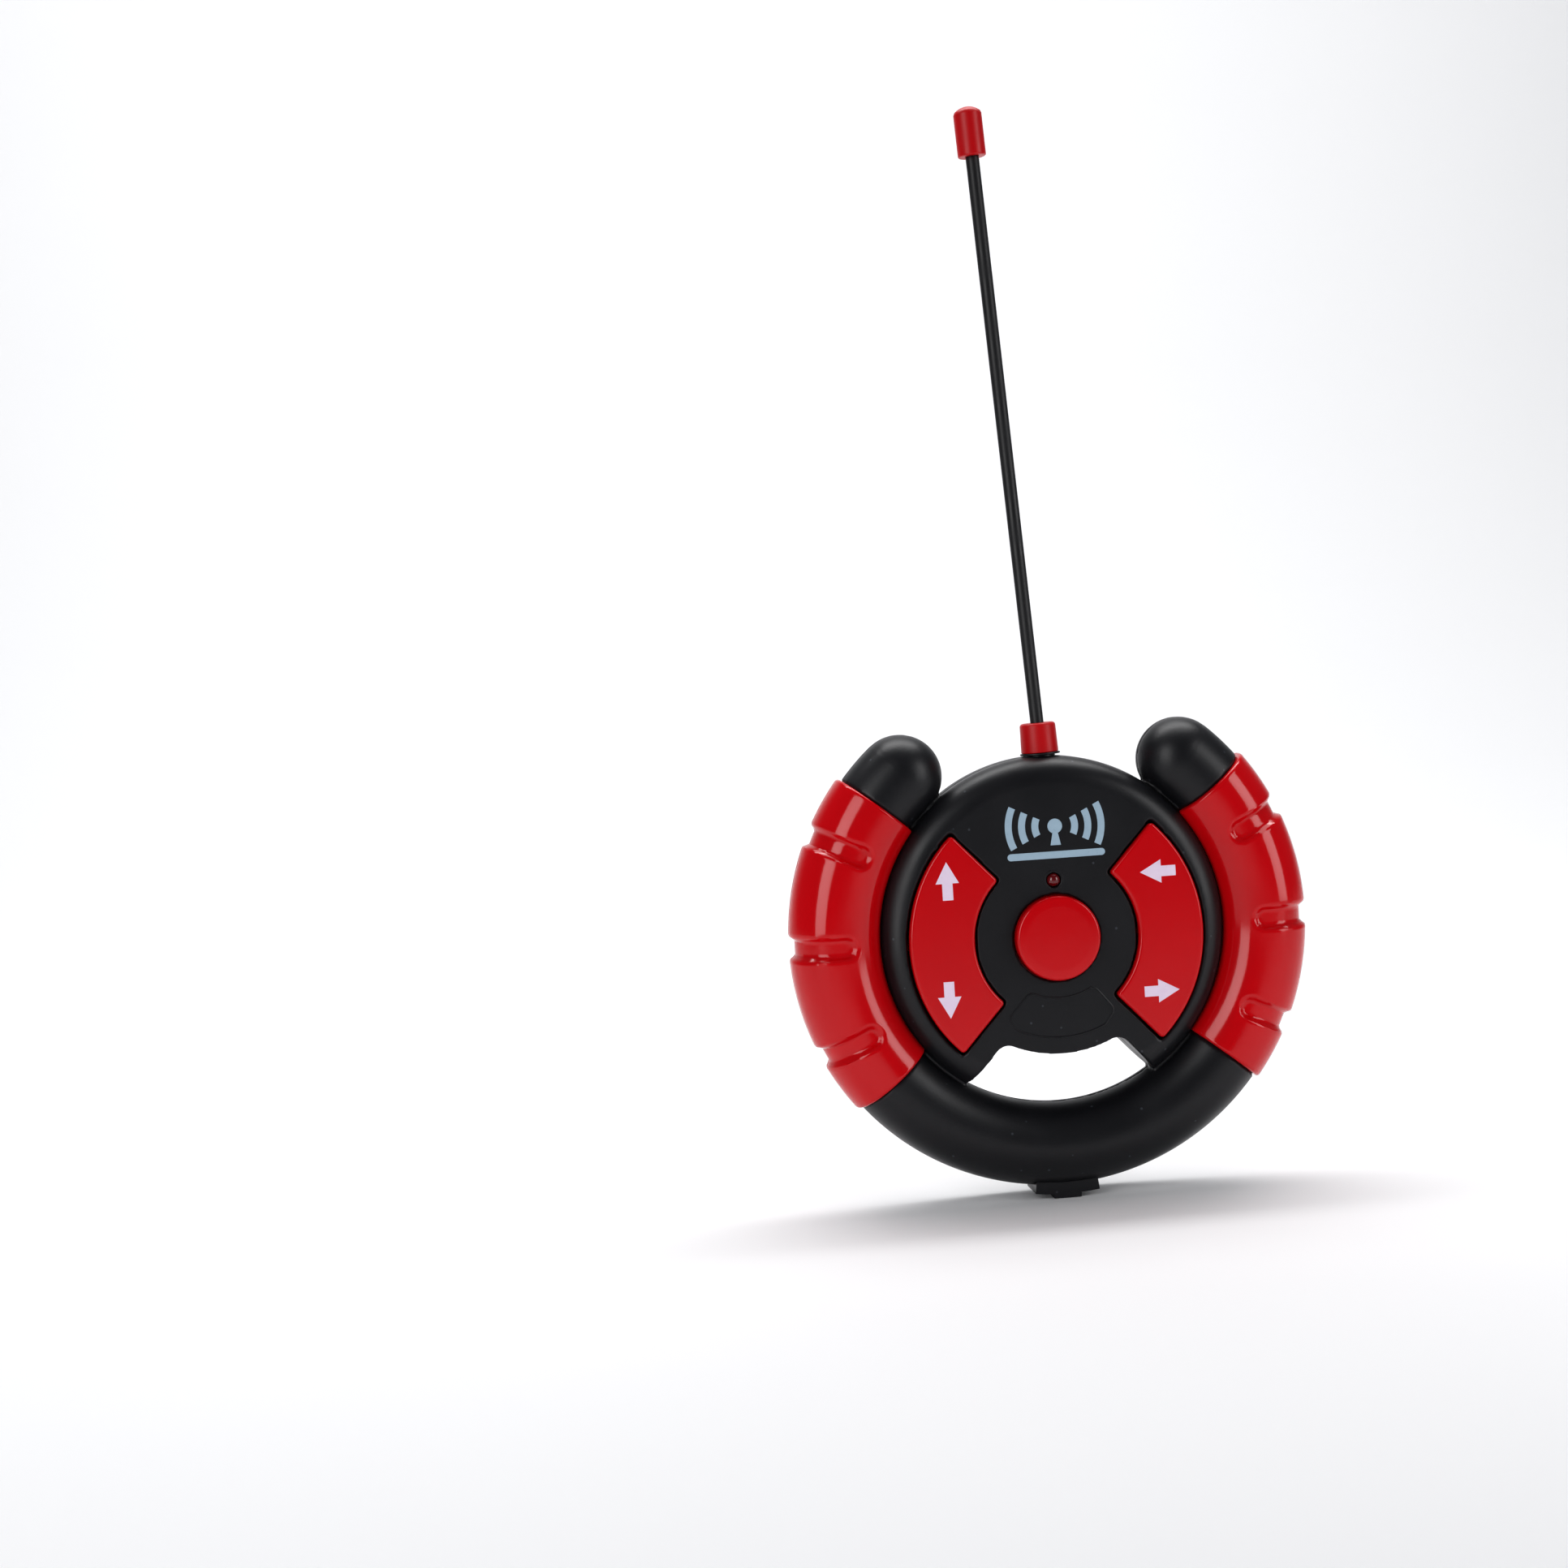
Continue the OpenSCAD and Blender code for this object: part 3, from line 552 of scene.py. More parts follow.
class Bench:
    """The place where pieces are made: the frame, the wheel's place in it, and the finishes."""

    def __init__(self, frame: dict, sizes: WheelSizes) -> None:
        """Finds the wheel in the frame.

        Args:
            sizes: The wheel's sizes.
        """
        self.frame = frame
        self.sizes = sizes
        self.finishes = Finishes()
        low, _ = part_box("front_shell")
        self.centre_height = low.z / MM + sizes.rim_r + sizes.tube_r
        self.to_row = Matrix((
            (MM, 0, 0, 0),
            (0, 0, -MM, 0),
            (0, MM, 0, self.centre_height * MM),
            (0, 0, 0, 1),
        ))
        self.controls = Matrix.Translation((0, -sizes.hub_drop, 0))
        self.neck = (
            Matrix.Translation((sizes.neck_x, sizes.hub_r, 0))
            @ Matrix.Rotation(math.radians(sizes.neck_lean), 4, "Z")
            @ Matrix.Rotation(math.radians(-90), 4, "X")
        )

    def dress(self, node: str, finish: Finish) -> None:
        """Gives a CAD node its finish, and leaves its shape as it is.

        Args:
            node: The node's name.
            finish: Its finish.
        """
        mesh = self.frame["nodes"][node].data
        mesh.materials.clear()
        mesh.materials.append(self.finishes.material(finish))
        log.info("%s: CAD shape, %s", node, finish.name)

    def add(
        self, name: str, mesh: bpy.types.Mesh, body: Body, slot: str, finish: Finish,
        replaces: Sequence[str] = (),
    ) -> bpy.types.Object:
        """Turns a finished mesh in the row frame into a piece.

        Args:
            name: The piece's name.
            mesh: Its mesh, in metres in the row frame.
            body: The body that it rides on.
            slot: The record's material slot; not used.
            finish: Its finish.
            replaces: CAD nodes that it stands for.

        Returns:
            The piece.
        """
        mesh.name = name
        mesh.materials.clear()
        mesh.materials.append(self.finishes.material(finish))
        piece = bpy.data.objects.new(name, mesh)
        bpy.context.scene.collection.objects.link(piece)
        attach(piece, body.value)
        if replaces:
            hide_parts(*replaces)
        log.info("%s: %d faces on %s, %s", name, len(mesh.polygons), body.value, finish.name)
        return piece

    def mesh(self, shape: Shape, sharp_deg: float = 35.0, edge_mm: float = 0.0) -> bpy.types.Mesh:
        """Makes a mesh of a shape, in the row frame.

        Args:
            shape: The shape, in millimetres in the wheel's plane.
            sharp_deg: Edges that turn by more than this look sharp.
            edge_mm: Width of a soft edge on the sharp edges, or 0.

        Returns:
            The mesh.
        """
        bm = bmesh.new()
        corners = [bm.verts.new(self.to_row @ p) for p in shape.points]
        for face in shape.faces:
            bm.faces.new([corners[i] for i in face])
        bmesh.ops.remove_doubles(bm, verts=bm.verts, dist=1e-7)
        bmesh.ops.recalc_face_normals(bm, faces=bm.faces)
        return self._finished(bm, sharp_deg, edge_mm)

    def _finished(self, bm: bmesh.types.BMesh, sharp_deg: float, edge_mm: float) -> bpy.types.Mesh:
        """Softens a mesh's sharp edges and shades it smooth."""
        if edge_mm > 0:
            hard = [
                e for e in bm.edges
                if len(e.link_faces) == 2 and e.calc_face_angle(0) > math.radians(sharp_deg)
            ]
            bmesh.ops.bevel(
                bm, geom=hard, offset=edge_mm * MM, offset_type="OFFSET", segments=3, profile=0.5,
                affect="EDGES", clamp_overlap=True,
            )
        mesh = bpy.data.meshes.new("shape")
        bm.to_mesh(mesh)
        bm.free()
        mesh.shade_smooth()
        mesh.set_sharp_from_angle(angle=math.radians(sharp_deg))
        return mesh

    def welded(self, node: str) -> bmesh.types.BMesh:
        """Copies a CAD node's mesh and joins the points along its edges.

        Args:
            node: The node's name.

        Returns:
            The copy, in metres in the row frame.
        """
        bm = bmesh.new()
        bm.from_mesh(self.frame["nodes"][node].data)
        bmesh.ops.remove_doubles(bm, verts=bm.verts, dist=2e-7)
        return bm

    def softened(self, node: str, edge_mm: float) -> bpy.types.Mesh:
        """Copies a CAD node's mesh with soft edges.

        Args:
            node: The node's name.
            edge_mm: Width of its soft edges.

        Returns:
            The mesh.
        """
        bm = self.welded(node)
        bmesh.ops.dissolve_limit(bm, angle_limit=math.radians(1.0), verts=bm.verts, edges=bm.edges)
        return self._finished(bm, 28.0, edge_mm)

    def cut(self, mesh: bpy.types.Mesh, shape: Shape) -> bpy.types.Mesh:
        """Cuts a shape out of a mesh.

        Args:
            mesh: The mesh to cut.
            shape: What is cut away.

        Returns:
            The mesh that is left.
        """
        work = bpy.data.objects.new("work", mesh)
        tool = bpy.data.objects.new("tool", self.mesh(shape))
        for item in (work, tool):
            bpy.context.scene.collection.objects.link(item)
        cutter = work.modifiers.new("cut", "BOOLEAN")
        cutter.operation = "DIFFERENCE"
        cutter.solver = "EXACT"
        cutter.object = tool
        left = bpy.data.meshes.new_from_object(work.evaluated_get(bpy.context.evaluated_depsgraph_get()))
        for item in (work, tool):
            bpy.data.objects.remove(item)
        return left


# ---------------------------------------------------------------- sub-assemblies


@dataclass
class WheelShells:
    """The two black shells and the foot.

    Attributes:
        voxel: Size of the mesh's cells.
        smooth_steps: Rounds of smoothing, which round the edges by about one cell.
        near: Distance at which a point counts as lying on a surface.
        far: Distance at which it doesn't.
        grip_gap: Angle past a grip's end at which the bare tube starts.
        line_r: Radius of the raised line.
        line_low: Radius of the line's lower arc about the wheel's centre, and the arc's two angles.
        line_high: The same for its upper arc.
        line_sides: Its right and left corners, between the two arcs.
        line_corner: Radius of its corners.
        line_sink: How deep its middle lies in the face.
    """

    bench: Bench
    voxel: float = 0.55
    smooth_steps: int = 5
    near: float = 0.08
    far: float = 0.22
    grip_gap: float = 0.25
    line_r: float = 0.26
    line_low: tuple[float, float, float] = (29.6, -116.0, -65.0)
    line_high: tuple[float, float, float] = (18.4, -58.0, -118.0)
    line_sides: tuple[Point2, Point2] = ((15.6, -22.9), (-15.1, -23.3))
    line_corner: float = 2.2
    line_sink: float = 0.05

    def build(self) -> None:
        """Builds the shells, the foot and the raised lines on the front."""
        finishes = self.bench.finishes
        for half in Half:
            node = f"{half.name.lower()}_shell"
            self.bench.add(f"{node}_moulding", self._shell(node), Body.MAIN, "black_abs",
                           finishes.black_abs, [node])
        self.bench.add("foot_moulding", self.bench.softened("stand_foot", 0.7), Body.MAIN, "black_abs",
                       finishes.black_abs, ["stand_foot"])
        self.bench.add("raised_outline", self.bench.mesh(self._outline()), Body.MAIN, "black_abs",
                       finishes.black_abs)

    def _shell(self, node: str) -> bpy.types.Mesh:
        """Remeshes a shell evenly, rounds its edges and lays its skin back on the true surfaces."""
        rough = bpy.data.meshes.new("rough")
        bm = self.bench.welded(node)
        bm.to_mesh(rough)
        bm.free()
        work = bpy.data.objects.new("work", rough)
        bpy.context.scene.collection.objects.link(work)
        remesh = work.modifiers.new("cells", "REMESH")
        remesh.mode = "VOXEL"
        remesh.voxel_size = self.voxel * MM
        soften = work.modifiers.new("soften", "SMOOTH")
        soften.factor = 0.5
        soften.iterations = self.smooth_steps
        mesh = bpy.data.meshes.new_from_object(work.evaluated_get(bpy.context.evaluated_depsgraph_get()))
        bpy.data.objects.remove(work)
        points = np.empty(len(mesh.vertices) * 3)
        mesh.vertices.foreach_get("co", points)
        back = np.array(self.bench.to_row.inverted())
        ahead = np.array(self.bench.to_row)
        plane = points.reshape(-1, 3) @ back[:3, :3].T + back[:3, 3]
        plane = self._on_skin(plane)
        mesh.vertices.foreach_set("co", (plane @ ahead[:3, :3].T + ahead[:3, 3]).ravel())
        mesh.shade_smooth()
        return mesh

    def _on_skin(self, points: np.ndarray) -> np.ndarray:
        """Moves points that lie close to a true outer surface onto it."""
        size = self.bench.sizes
        side = np.where(points[:, 2] < 0, -1.0, 1.0)
        shoulder = (size.hub_r - size.shoulder_r, size.face_z - size.shoulder_r)
        past_face = np.hypot(points[:, 0], points[:, 1]) > shoulder[0]
        by_shoulder = past_face & (np.abs(points[:, 2]) > shoulder[1])
        # the black tube of the rim lies below the grips and between them and the horns' round ends
        turn = np.degrees(np.arctan2(points[:, 1], np.abs(points[:, 0])))
        by_tube = (turn < size.horn_angle) & (np.abs(turn) > size.grip_half + self.grip_gap)
        for centre, radius, beside in (
            (shoulder, size.shoulder_r, by_shoulder),
            ((size.rim_r, 0.0), size.tube_r, by_tube),
        ):
            reach = np.maximum(np.hypot(points[:, 0], points[:, 1]), TINY)
            across = reach - centre[0]
            up = np.abs(points[:, 2]) - centre[1]
            away = np.maximum(np.hypot(across, up), TINY)
            scale = 1 + self._share(away - radius) * beside * (radius / away - 1)
            new_reach = centre[0] + across * scale
            points[:, :2] *= (new_reach / reach)[:, None]
            points[:, 2] = side * (centre[1] + up * scale)
        flat = np.hypot(points[:, 0], points[:, 1]) < shoulder[0]
        gap = size.face_z - np.abs(points[:, 2])
        points[:, 2] += side * gap * self._share(gap) * flat
        return points

    def _share(self, gap: np.ndarray) -> np.ndarray:
        """Gives 1 for a small gap and 0 for a wide one, with a soft change between."""
        t = np.clip((np.abs(gap) - self.near) / (self.far - self.near), 0, 1)
        return 1 - t * t * (3 - 2 * t)

    def _outline(self) -> Shape:
        """Makes the thin raised line, shaped like a bean, below the button."""
        steps = 24
        corners: list[tuple[float, float, float]] = []
        for (radius, start, end), side in zip((self.line_low, self.line_high), self.line_sides, strict=True):
            for k in range(steps + 1):
                a = math.radians(start + (end - start) * k / steps)
                bend = self.line_corner if k in (0, steps) else 0.0
                corners.append((radius * math.cos(a), radius * math.sin(a), bend))
            corners.append((*side, self.line_corner))
        # the line starts in the middle of its lower arc, away from the corners
        corners = corners[steps // 2:] + corners[:steps // 2 + 1]
        height = self.bench.sizes.face_z - self.line_sink
        path = [Vector((x, y, height)) for x, y in rounded(corners, 5)]
        return Shape().tube(path[:-1], self.line_r, 8, looped=True)


@dataclass
class Grips:
    """The red hand grips, each a front and a rear half.

    Attributes:
        grip_r: Radius of a grip's tube.
        sleeve_r: Radius of its hollow.
        groove_pitch: Angle between finger grooves.
        groove_depth: Depth of a finger groove.
        groove_floor: Half width of a groove's flat floor.
        groove_edge: Half width of a groove at the surface.
        groove_end: Angle round the tube at which a groove ends.
        lip: Radius of the rounded ends.
        skin_end: Angle round the tube at which the skin meets the hub.
        seam_w: Half width of the soft seam between the halves.
        seam_depth: Its depth.
        parting: Half of the gap between the halves.
        screw_turn: Angle of a screw from the grip's middle.
        across_steps: Pieces of the skin round the tube.
        along_steps: Pieces of it along the grip.
    """

    bench: Bench
    grip_r: float = 13.4
    sleeve_r: float = 11.25
    groove_pitch: float = 25.0
    groove_depth: float = 1.7
    groove_floor: float = 1.9
    groove_edge: float = 3.7
    groove_end: float = 97.0
    lip: float = 0.9
    skin_end: float = 154.8
    seam_w: float = 0.4
    seam_depth: float = 0.25
    parting: float = 0.04
    screw_turn: float = 12.5
    across_steps: int = 56
    along_steps: int = 150

    def build(self) -> None:
        """Builds the four halves."""
        for side in Side:
            for half in Half:
                node = f"{side.name.lower()}_grip_{half.name.lower()}"
                mesh = self.bench.mesh(self._half(side, half), 40.0)
                if half is Half.REAR:
                    mesh = self.bench.cut(mesh, self._screw_holes(side))
                    mesh.set_sharp_from_angle(angle=math.radians(40))
                self.bench.add(f"{node}_moulding", mesh, Body.MAIN, "red_abs",
                               self.bench.finishes.red_abs, [node])

    def _half(self, side: Side, half: Half) -> Shape:
        """Makes one half: a section that changes along the grip, swept round the wheel."""
        rings = []
        for turn in self._turns():
            direction = Vector((math.cos(turn) * side.value, math.sin(turn)))
            ring = []
            for reach, height in self._section(turn):
                ring.append(Vector((direction.x * reach, direction.y * reach, height * half.value)))
            rings.append(ring)
        return Shape().loft(rings, closed=True)

    def _turns(self) -> list[float]:
        """Gives the angles of the sections, closer together at the ends."""
        half = math.radians(self.bench.sizes.grip_half)
        lip_turn = self.lip / self.bench.sizes.rim_r
        ends = [half - lip_turn * (1 - math.cos(math.pi / 2 * k / 6)) for k in range(7)]
        middle = half - lip_turn
        even = [middle * (1 - 2 * k / self.along_steps) for k in range(1, self.along_steps)]
        return [*ends, *even, *(-t for t in reversed(ends))]

    def _section(self, turn: float) -> list[Point2]:
        """Gives the closed section at an angle: the skin, then the hollow on the way back."""
        size = self.bench.sizes
        last = math.radians(self.skin_end)
        skin = []
        for k in range(self.across_steps + 1):
            a = last * k / self.across_steps
            radius = self.grip_r - self._drop(turn, a)
            skin.append((size.rim_r + radius * math.cos(a), max(radius * math.sin(a), self.parting)))
        inner_edge = size.hub_r + 0.05
        floor = size.web_half + 0.1
        skin += [(inner_edge, floor + 0.5), (inner_edge, floor)]
        start = math.asin(floor / self.sleeve_r)
        hollow = []
        for k in range(self.across_steps // 2 + 1):
            a = math.pi - start - (math.pi - start) * k / (self.across_steps // 2)
            hollow.append((
                size.rim_r + self.sleeve_r * math.cos(a),
                max(self.sleeve_r * math.sin(a), self.parting),
            ))
        return skin + hollow

    def _drop(self, turn: float, around: float) -> float:
        """Says how far the skin lies below the plain tube.

        Args:
            turn: Angle along the grip, in radians.
            around: Angle round the tube from its outermost line, in radians.

        Returns:
            The drop, in millimetres.
        """
        size = self.bench.sizes
        reach = size.rim_r + self.grip_r * math.cos(around)
        drop = 0.0
        for i in (-1, 0, 1):
            across = reach * math.sin(turn - math.radians(i * self.groove_pitch))
            past = max(around - math.radians(self.groove_end), 0) * self.grip_r
            t = (math.hypot(across, past) - self.groove_floor) / (self.groove_edge - self.groove_floor)
            t = min(max(t, 0), 1)
            drop = max(drop, self.groove_depth * (1 - t * t * (3 - 2 * t)))
        to_end = (math.radians(size.grip_half) - abs(turn)) * size.rim_r
        if to_end < self.lip:
            drop += self.lip - math.sqrt(max(self.lip ** 2 - (self.lip - to_end) ** 2, 0))
        seam = around * self.grip_r
        if seam < self.seam_w:
            drop += self.seam_depth * (1 - seam / self.seam_w) ** 2
        return drop

    def _screw_holes(self, side: Side) -> Shape:
        """Makes the tools that cut the counterbores and the screws' holes."""
        holes = Shape()
        head_r, seat_z, shank_r, tip_z = 2.9, -11.6, 1.6, -9
        for turn in (-self.screw_turn, self.screw_turn):
            at = Matrix.Rotation(math.radians(turn), 4, "Z") @ Vector((self.bench.sizes.rim_r, 0, 0))
            place = Matrix.Translation((at.x * side.value, at.y, 0))
            holes.lathe(
                place, [(head_r, -self.grip_r - 1), (head_r, seat_z), (shank_r, seat_z), (shank_r, tip_z)], 48
            )
        return holes


@dataclass
class Rockers:
    """The two red rockers with their printed arrows.

    Attributes:
        out_r: Outer radius.
        in_r: Inner radius.
        half: Half of the angle that a rocker covers.
        top: Height of its face.
        foot: Height of its lower edge.
        corner_r: Radius of its corners.
        edge_r: Radius of the edge round its face.
        wall: Thickness of its skirt.
        post_turn: Angle of the posts that press the keypad, from the rocker's middle.
        pin_r: Radius of the pivot pins.
        pin_z: Height of their axis.
        pin_ends: Where they start and end, outwards from the middle.
        ink: How deep the arrows' ink starts, and how high it stands, from the face.
    """

    bench: Bench
    out_r: float = 42.1
    in_r: float = 23.6
    half: float = 47.2
    top: float = 12.3
    foot: float = 5.5
    corner_r: float = 1.1
    edge_r: float = 0.9
    wall: float = 1.6
    post_turn: float = 38.0
    pin_r: float = 1.2
    pin_z: float = 7.0
    pin_ends: Point2 = (20.1, 44.7)
    ink: Point2 = (0.05, 0.03)

    def build(self) -> None:
        """Builds the rockers and their arrows."""
        finishes = self.bench.finishes
        for side, body in ((Side.LEFT, Body.LEFT_ROCKER), (Side.RIGHT, Body.RIGHT_ROCKER)):
            name = f"{side.name.lower()}_rocker"
            self.bench.add(f"{name}_cap", self.bench.mesh(self._rocker(side), 50.0), body, "red_abs",
                           finishes.red_abs, [name])
        self._arrows()

    def _outline(self, inset: float) -> list[Point2]:
        """Gives the outline, drawn in by an amount, about the controls' centre."""
        radius = max(self.corner_r - inset, 0.15)
        half = math.radians(self.half)
        along = Vector((math.cos(half), math.sin(half)))
        inward = Vector((math.sin(half), -math.cos(half)))
        off = inset + radius
        upper: list[Vector] = []
        for reach, sign in ((self.in_r + inset + radius, -1), (self.out_r - inset - radius, 1)):
            centre = along * math.sqrt(reach ** 2 - off ** 2) + inward * off
            to_side = -inward * radius
            to_arc = centre.normalized() * radius * sign
            sweep = -to_side.angle_signed(to_arc)
            arc = [centre + Matrix.Rotation(sweep * k / 6, 2) @ to_side for k in range(7)]
            upper += reversed(arc) if sign < 0 else arc
        first, last = upper[0], upper[-1]
        outer = self._arc(last, -1, 40)
        lower = [Vector((p.x, -p.y)) for p in reversed(upper)]
        inner = self._arc(Vector((first.x, -first.y)), 1, 24)
        return [tuple(p) for p in [*upper, *outer, *lower, *inner]]

    @staticmethod
    def _arc(start: Vector, direction: int, steps: int) -> list[Vector]:
        """Gives the points between a point and its mirror image, on a circle about the centre."""
        from_angle = math.atan2(start.y, start.x)
        span = 2 * abs(from_angle) * direction
        angles = [from_angle + span * k / steps for k in range(1, steps)]
        return [start.length * Vector((math.cos(a), math.sin(a))) for a in angles]

    def _rocker(self, side: Side) -> Shape:
        """Makes a rocker: a hollow cap with a rounded edge, its posts and its pivot."""
        arc = [math.pi / 2 * k / 6 for k in range(7)]
        levels = [(self.wall, self.top - 2), (self.wall, self.foot), (0.15, self.foot), (0, self.foot + 0.15)]
        levels += [(self.edge_r * (1 - math.cos(a)), self.top - self.edge_r * (1 - math.sin(a))) for a in arc]
        levels += [(self.edge_r + 0.3, self.top)]
        rings = []
        for inset, height in levels:
            line = [Vector((x * side.value, y, height)) for x, y in self._outline(inset)]
            rings.append([self.bench.controls @ point for point in line])
        shape = Shape().loft(rings, closed=True)
        middle = (self.out_r + self.in_r) / 2
        for turn in (-self.post_turn, self.post_turn):
            at = Matrix.Rotation(math.radians(turn), 4, "Z") @ Vector((middle, 0, 0))
            place = self.bench.controls @ Matrix.Translation((at.x * side.value, at.y, 0))
            shape.lathe(place, [(1.9, 4.6), (2.2, 4.9), (2.2, 11)], 24)
        axis = Matrix.Translation((0, 0, self.pin_z)) @ Matrix.Rotation(math.pi / 2, 4, "Y")
        start, end = sorted(x * side.value for x in self.pin_ends)
        bevel = 0.3
        shape.lathe(self.bench.controls @ axis, [
            (self.pin_r - bevel, start), (self.pin_r, start + bevel),
            (self.pin_r, end - bevel), (self.pin_r - bevel, end),
        ], 24)
        return shape

    def _arrows(self) -> None:
        """Prints an arrow at each end of both rockers."""
        head, half_head, half_shaft = 6.1, 3.35, 1.5
        for name, body, tip, towards, length in (
            ("arrow_up", Body.LEFT_ROCKER, (-30.6, 22.3), (0, 1), 10.8),
            ("arrow_down", Body.LEFT_ROCKER, (-31.8, -21.8), (0, -1), 10.4),
            ("arrow_left", Body.RIGHT_ROCKER, (24.5, 15.5), (-1, 0), 10.3),
            ("arrow_right", Body.RIGHT_ROCKER, (34.1, -18.4), (1, 0), 10.1),
        ):
            along = Vector(towards)
            side = Vector((-along.y, along.x))
            corners = [
                (0, 0), (-head, half_head), (-head, half_shaft), (-length, half_shaft),
                (-length, -half_shaft), (-head, -half_shaft), (-head, -half_head),
            ]
            outline = [tuple(Vector(tip) + along * a + side * b) for a, b in corners]
            shape = Shape().slab(outline, self.top - self.ink[0], self.top + self.ink[1])
            self.bench.add(name, self.bench.mesh(shape), body, "red_abs", self.bench.finishes.arrow_ink)


@dataclass
class CentreButton:
    """The round red button.

    Attributes:
        radius: Its radius.
        top: Height of its middle.
        crown: How much its middle stands above its edge.
        flange_r: Radius of the flange that holds it below the face.
    """

    bench: Bench
    radius: float = 12.0
    top: float = 14.2
    crown: float = 0.15
    flange_r: float = 13.0

    def build(self) -> None:
        """Builds the button as one hollow turning with a slight crown."""
        under = self.top - 2.2
        profile = rounded([
            (0.0, 5.0, 0), (2.5, 5.0, 0.3), (2.5, under, 0.4), (self.radius - 1.6, under, 0.4),
            (self.radius - 1.6, 7.6, 0.0), (self.flange_r, 7.6, 0.2), (self.flange_r, 8.8, 0.2),
            (self.radius, 8.8, 0.2),
            (self.radius, self.top - self.crown, 1.0), (self.radius - 3, self.top - self.crown / 3, 1.0),
            (0.0, self.top, 0),
        ], 8)
        shape = Shape().lathe(self.bench.controls, profile, 144)
        self.bench.add("centre_button_cap", self.bench.mesh(shape, 50.0), Body.BUTTON, "red_abs",
                       self.bench.finishes.red_abs, ["centre_button"])


@dataclass
class Lamp:
    """The indicator lamp with the thin raised ring round it.

    Attributes:
        height: Its height above the wheel's centre.
        radius: Radius of its dome.
        base_z: Height at which the dome starts.
        flange_r: Radius of its flange.
        leg_x: Place of its two legs to each side.
        ring: Inner and outer radius of the raised ring.
        ring_z: Height of the ring above the face.
    """

    bench: Bench
    height: float = 15.0
    radius: float = 1.95
    base_z: float = 10.0
    flange_r: float = 2.3
    leg_x: float = 0.8
    ring: Point2 = (2.3, 2.85)
    ring_z: float = 0.08

    def build(self) -> None:
        """Builds the lamp and its ring."""
        place = Matrix.Translation((0, self.height, 0))
        arc = [math.pi / 2 * k / 12 for k in range(13)]
        dome = [(self.radius * math.cos(a), self.base_z + self.radius * math.sin(a)) for a in arc]
        outer = self.flange_r
        flange = [(outer - 0.15, 3.7), (outer, 3.85), (outer, 4.6), (self.radius, 4.6)]
        shape = Shape().lathe(place, [*flange, *dome], 48)
        for x in (-self.leg_x, self.leg_x):
            legs = Matrix.Translation((x, self.height, 0))
            shape.lathe(legs, [(0.25, 1.6), (0.25, 3.9)], 12)
        finishes = self.bench.finishes
        self.bench.add("lamp_dome", self.bench.mesh(shape, 50.0), Body.MAIN, "lamp_red",
                       finishes.lamp, ["status_lamp"])
        low = self.bench.sizes.face_z - 0.3
        high = self.bench.sizes.face_z + self.ring_z
        inner, outer = self.ring
        profile = rounded([
            (inner, low, 0), (inner, high, self.ring_z), (outer, high, self.ring_z), (outer, low, 0),
        ], 4)
        ring = self.bench.mesh(Shape().lathe(place, profile, 64, looped=True))
        self.bench.add("lamp_ring", ring, Body.MAIN, "black_abs", finishes.black_abs)


@dataclass
class FrontPrint:
    """A plain picture of a mast with radio waves, printed on the front above the lamp.

    Attributes:
        centre: Middle of the waves.
        wave_radii: Radius of each wave's middle line.
        wave_w: Width of a wave's line.
        spread: Half of the angle that a wave covers.
        mast_r: Radius of the mast's round head.
        bar_drop: How far the bar lies below the waves' middle.
        bar_size: Half length and half width of the bar.
        ink: How deep the ink starts, and how high it stands, from the face.
    """

    bench: Bench
    centre: Point2 = (1.15, 30.2)
    wave_radii: Sequence[float] = field(default_factory=lambda: (5.7, 9.5, 13.3))
    wave_w: float = 2.0
    spread: float = 26.0
    mast_r: float = 2.1
    bar_drop: float = 8.1
    bar_size: Point2 = (14.0, 1.0)
    ink: Point2 = (0.05, 0.03)

    def build(self) -> None:
        """Builds every mark as one thin layer of ink."""
        face = self.bench.sizes.face_z
        low, high = face - self.ink[0], face + self.ink[1]
        shape = Shape()
        x, y = self.centre
        turns = np.linspace(0, math.tau, 40, endpoint=False)
        shape.slab([(x + self.mast_r * math.cos(a), y + self.mast_r * math.sin(a)) for a in turns], low, high)
        stem = [(x + across, y - down) for across, down in ((-0.7, 1.5), (0.7, 1.5), (1.5, 5.4), (-1.5, 5.4))]
        # the stem stands a hair above the head, so that their faces don't fight
        shape.slab(stem, low, high + 0.004)
        for radius in self.wave_radii:
            for middle in (0, math.pi):
                self._wave(shape, radius, middle, low, high)
        shape.slab(self._bar(x, y - self.bar_drop, *self.bar_size), low, high)
        self.bench.add("front_mark", self.bench.mesh(shape), Body.MAIN, "black_abs",
                       self.bench.finishes.mark_ink)

    def _wave(self, shape: Shape, radius: float, middle: float, low: float, high: float) -> None:
        """Adds one curved line, as quads so that its hollow side stays open."""
        half = math.radians(self.spread)
        rings = []
        for k in range(17):
            a = middle - half + 2 * half * k / 16
            direction = Vector((math.cos(a), math.sin(a)))
            ring = []
            for reach, z in (
                (radius - self.wave_w / 2, low), (radius + self.wave_w / 2, low),
                (radius + self.wave_w / 2, high), (radius - self.wave_w / 2, high),
            ):
                ring.append(Vector((*(Vector(self.centre) + direction * reach), z)))
            rings.append(ring)
        shape.loft(rings, closed=True)

    @staticmethod
    def _bar(x: float, y: float, half_length: float, half_width: float) -> list[Point2]:
        """Gives the outline of a bar with round ends."""
        outline = []
        for end, start in ((1, -math.pi / 2), (-1, math.pi / 2)):
            for k in range(13):
                a = start + math.pi * k / 12
                outline.append((
                    x + end * (half_length - half_width) + half_width * math.cos(a),
                    y + half_width * math.sin(a),
                ))
        return outline


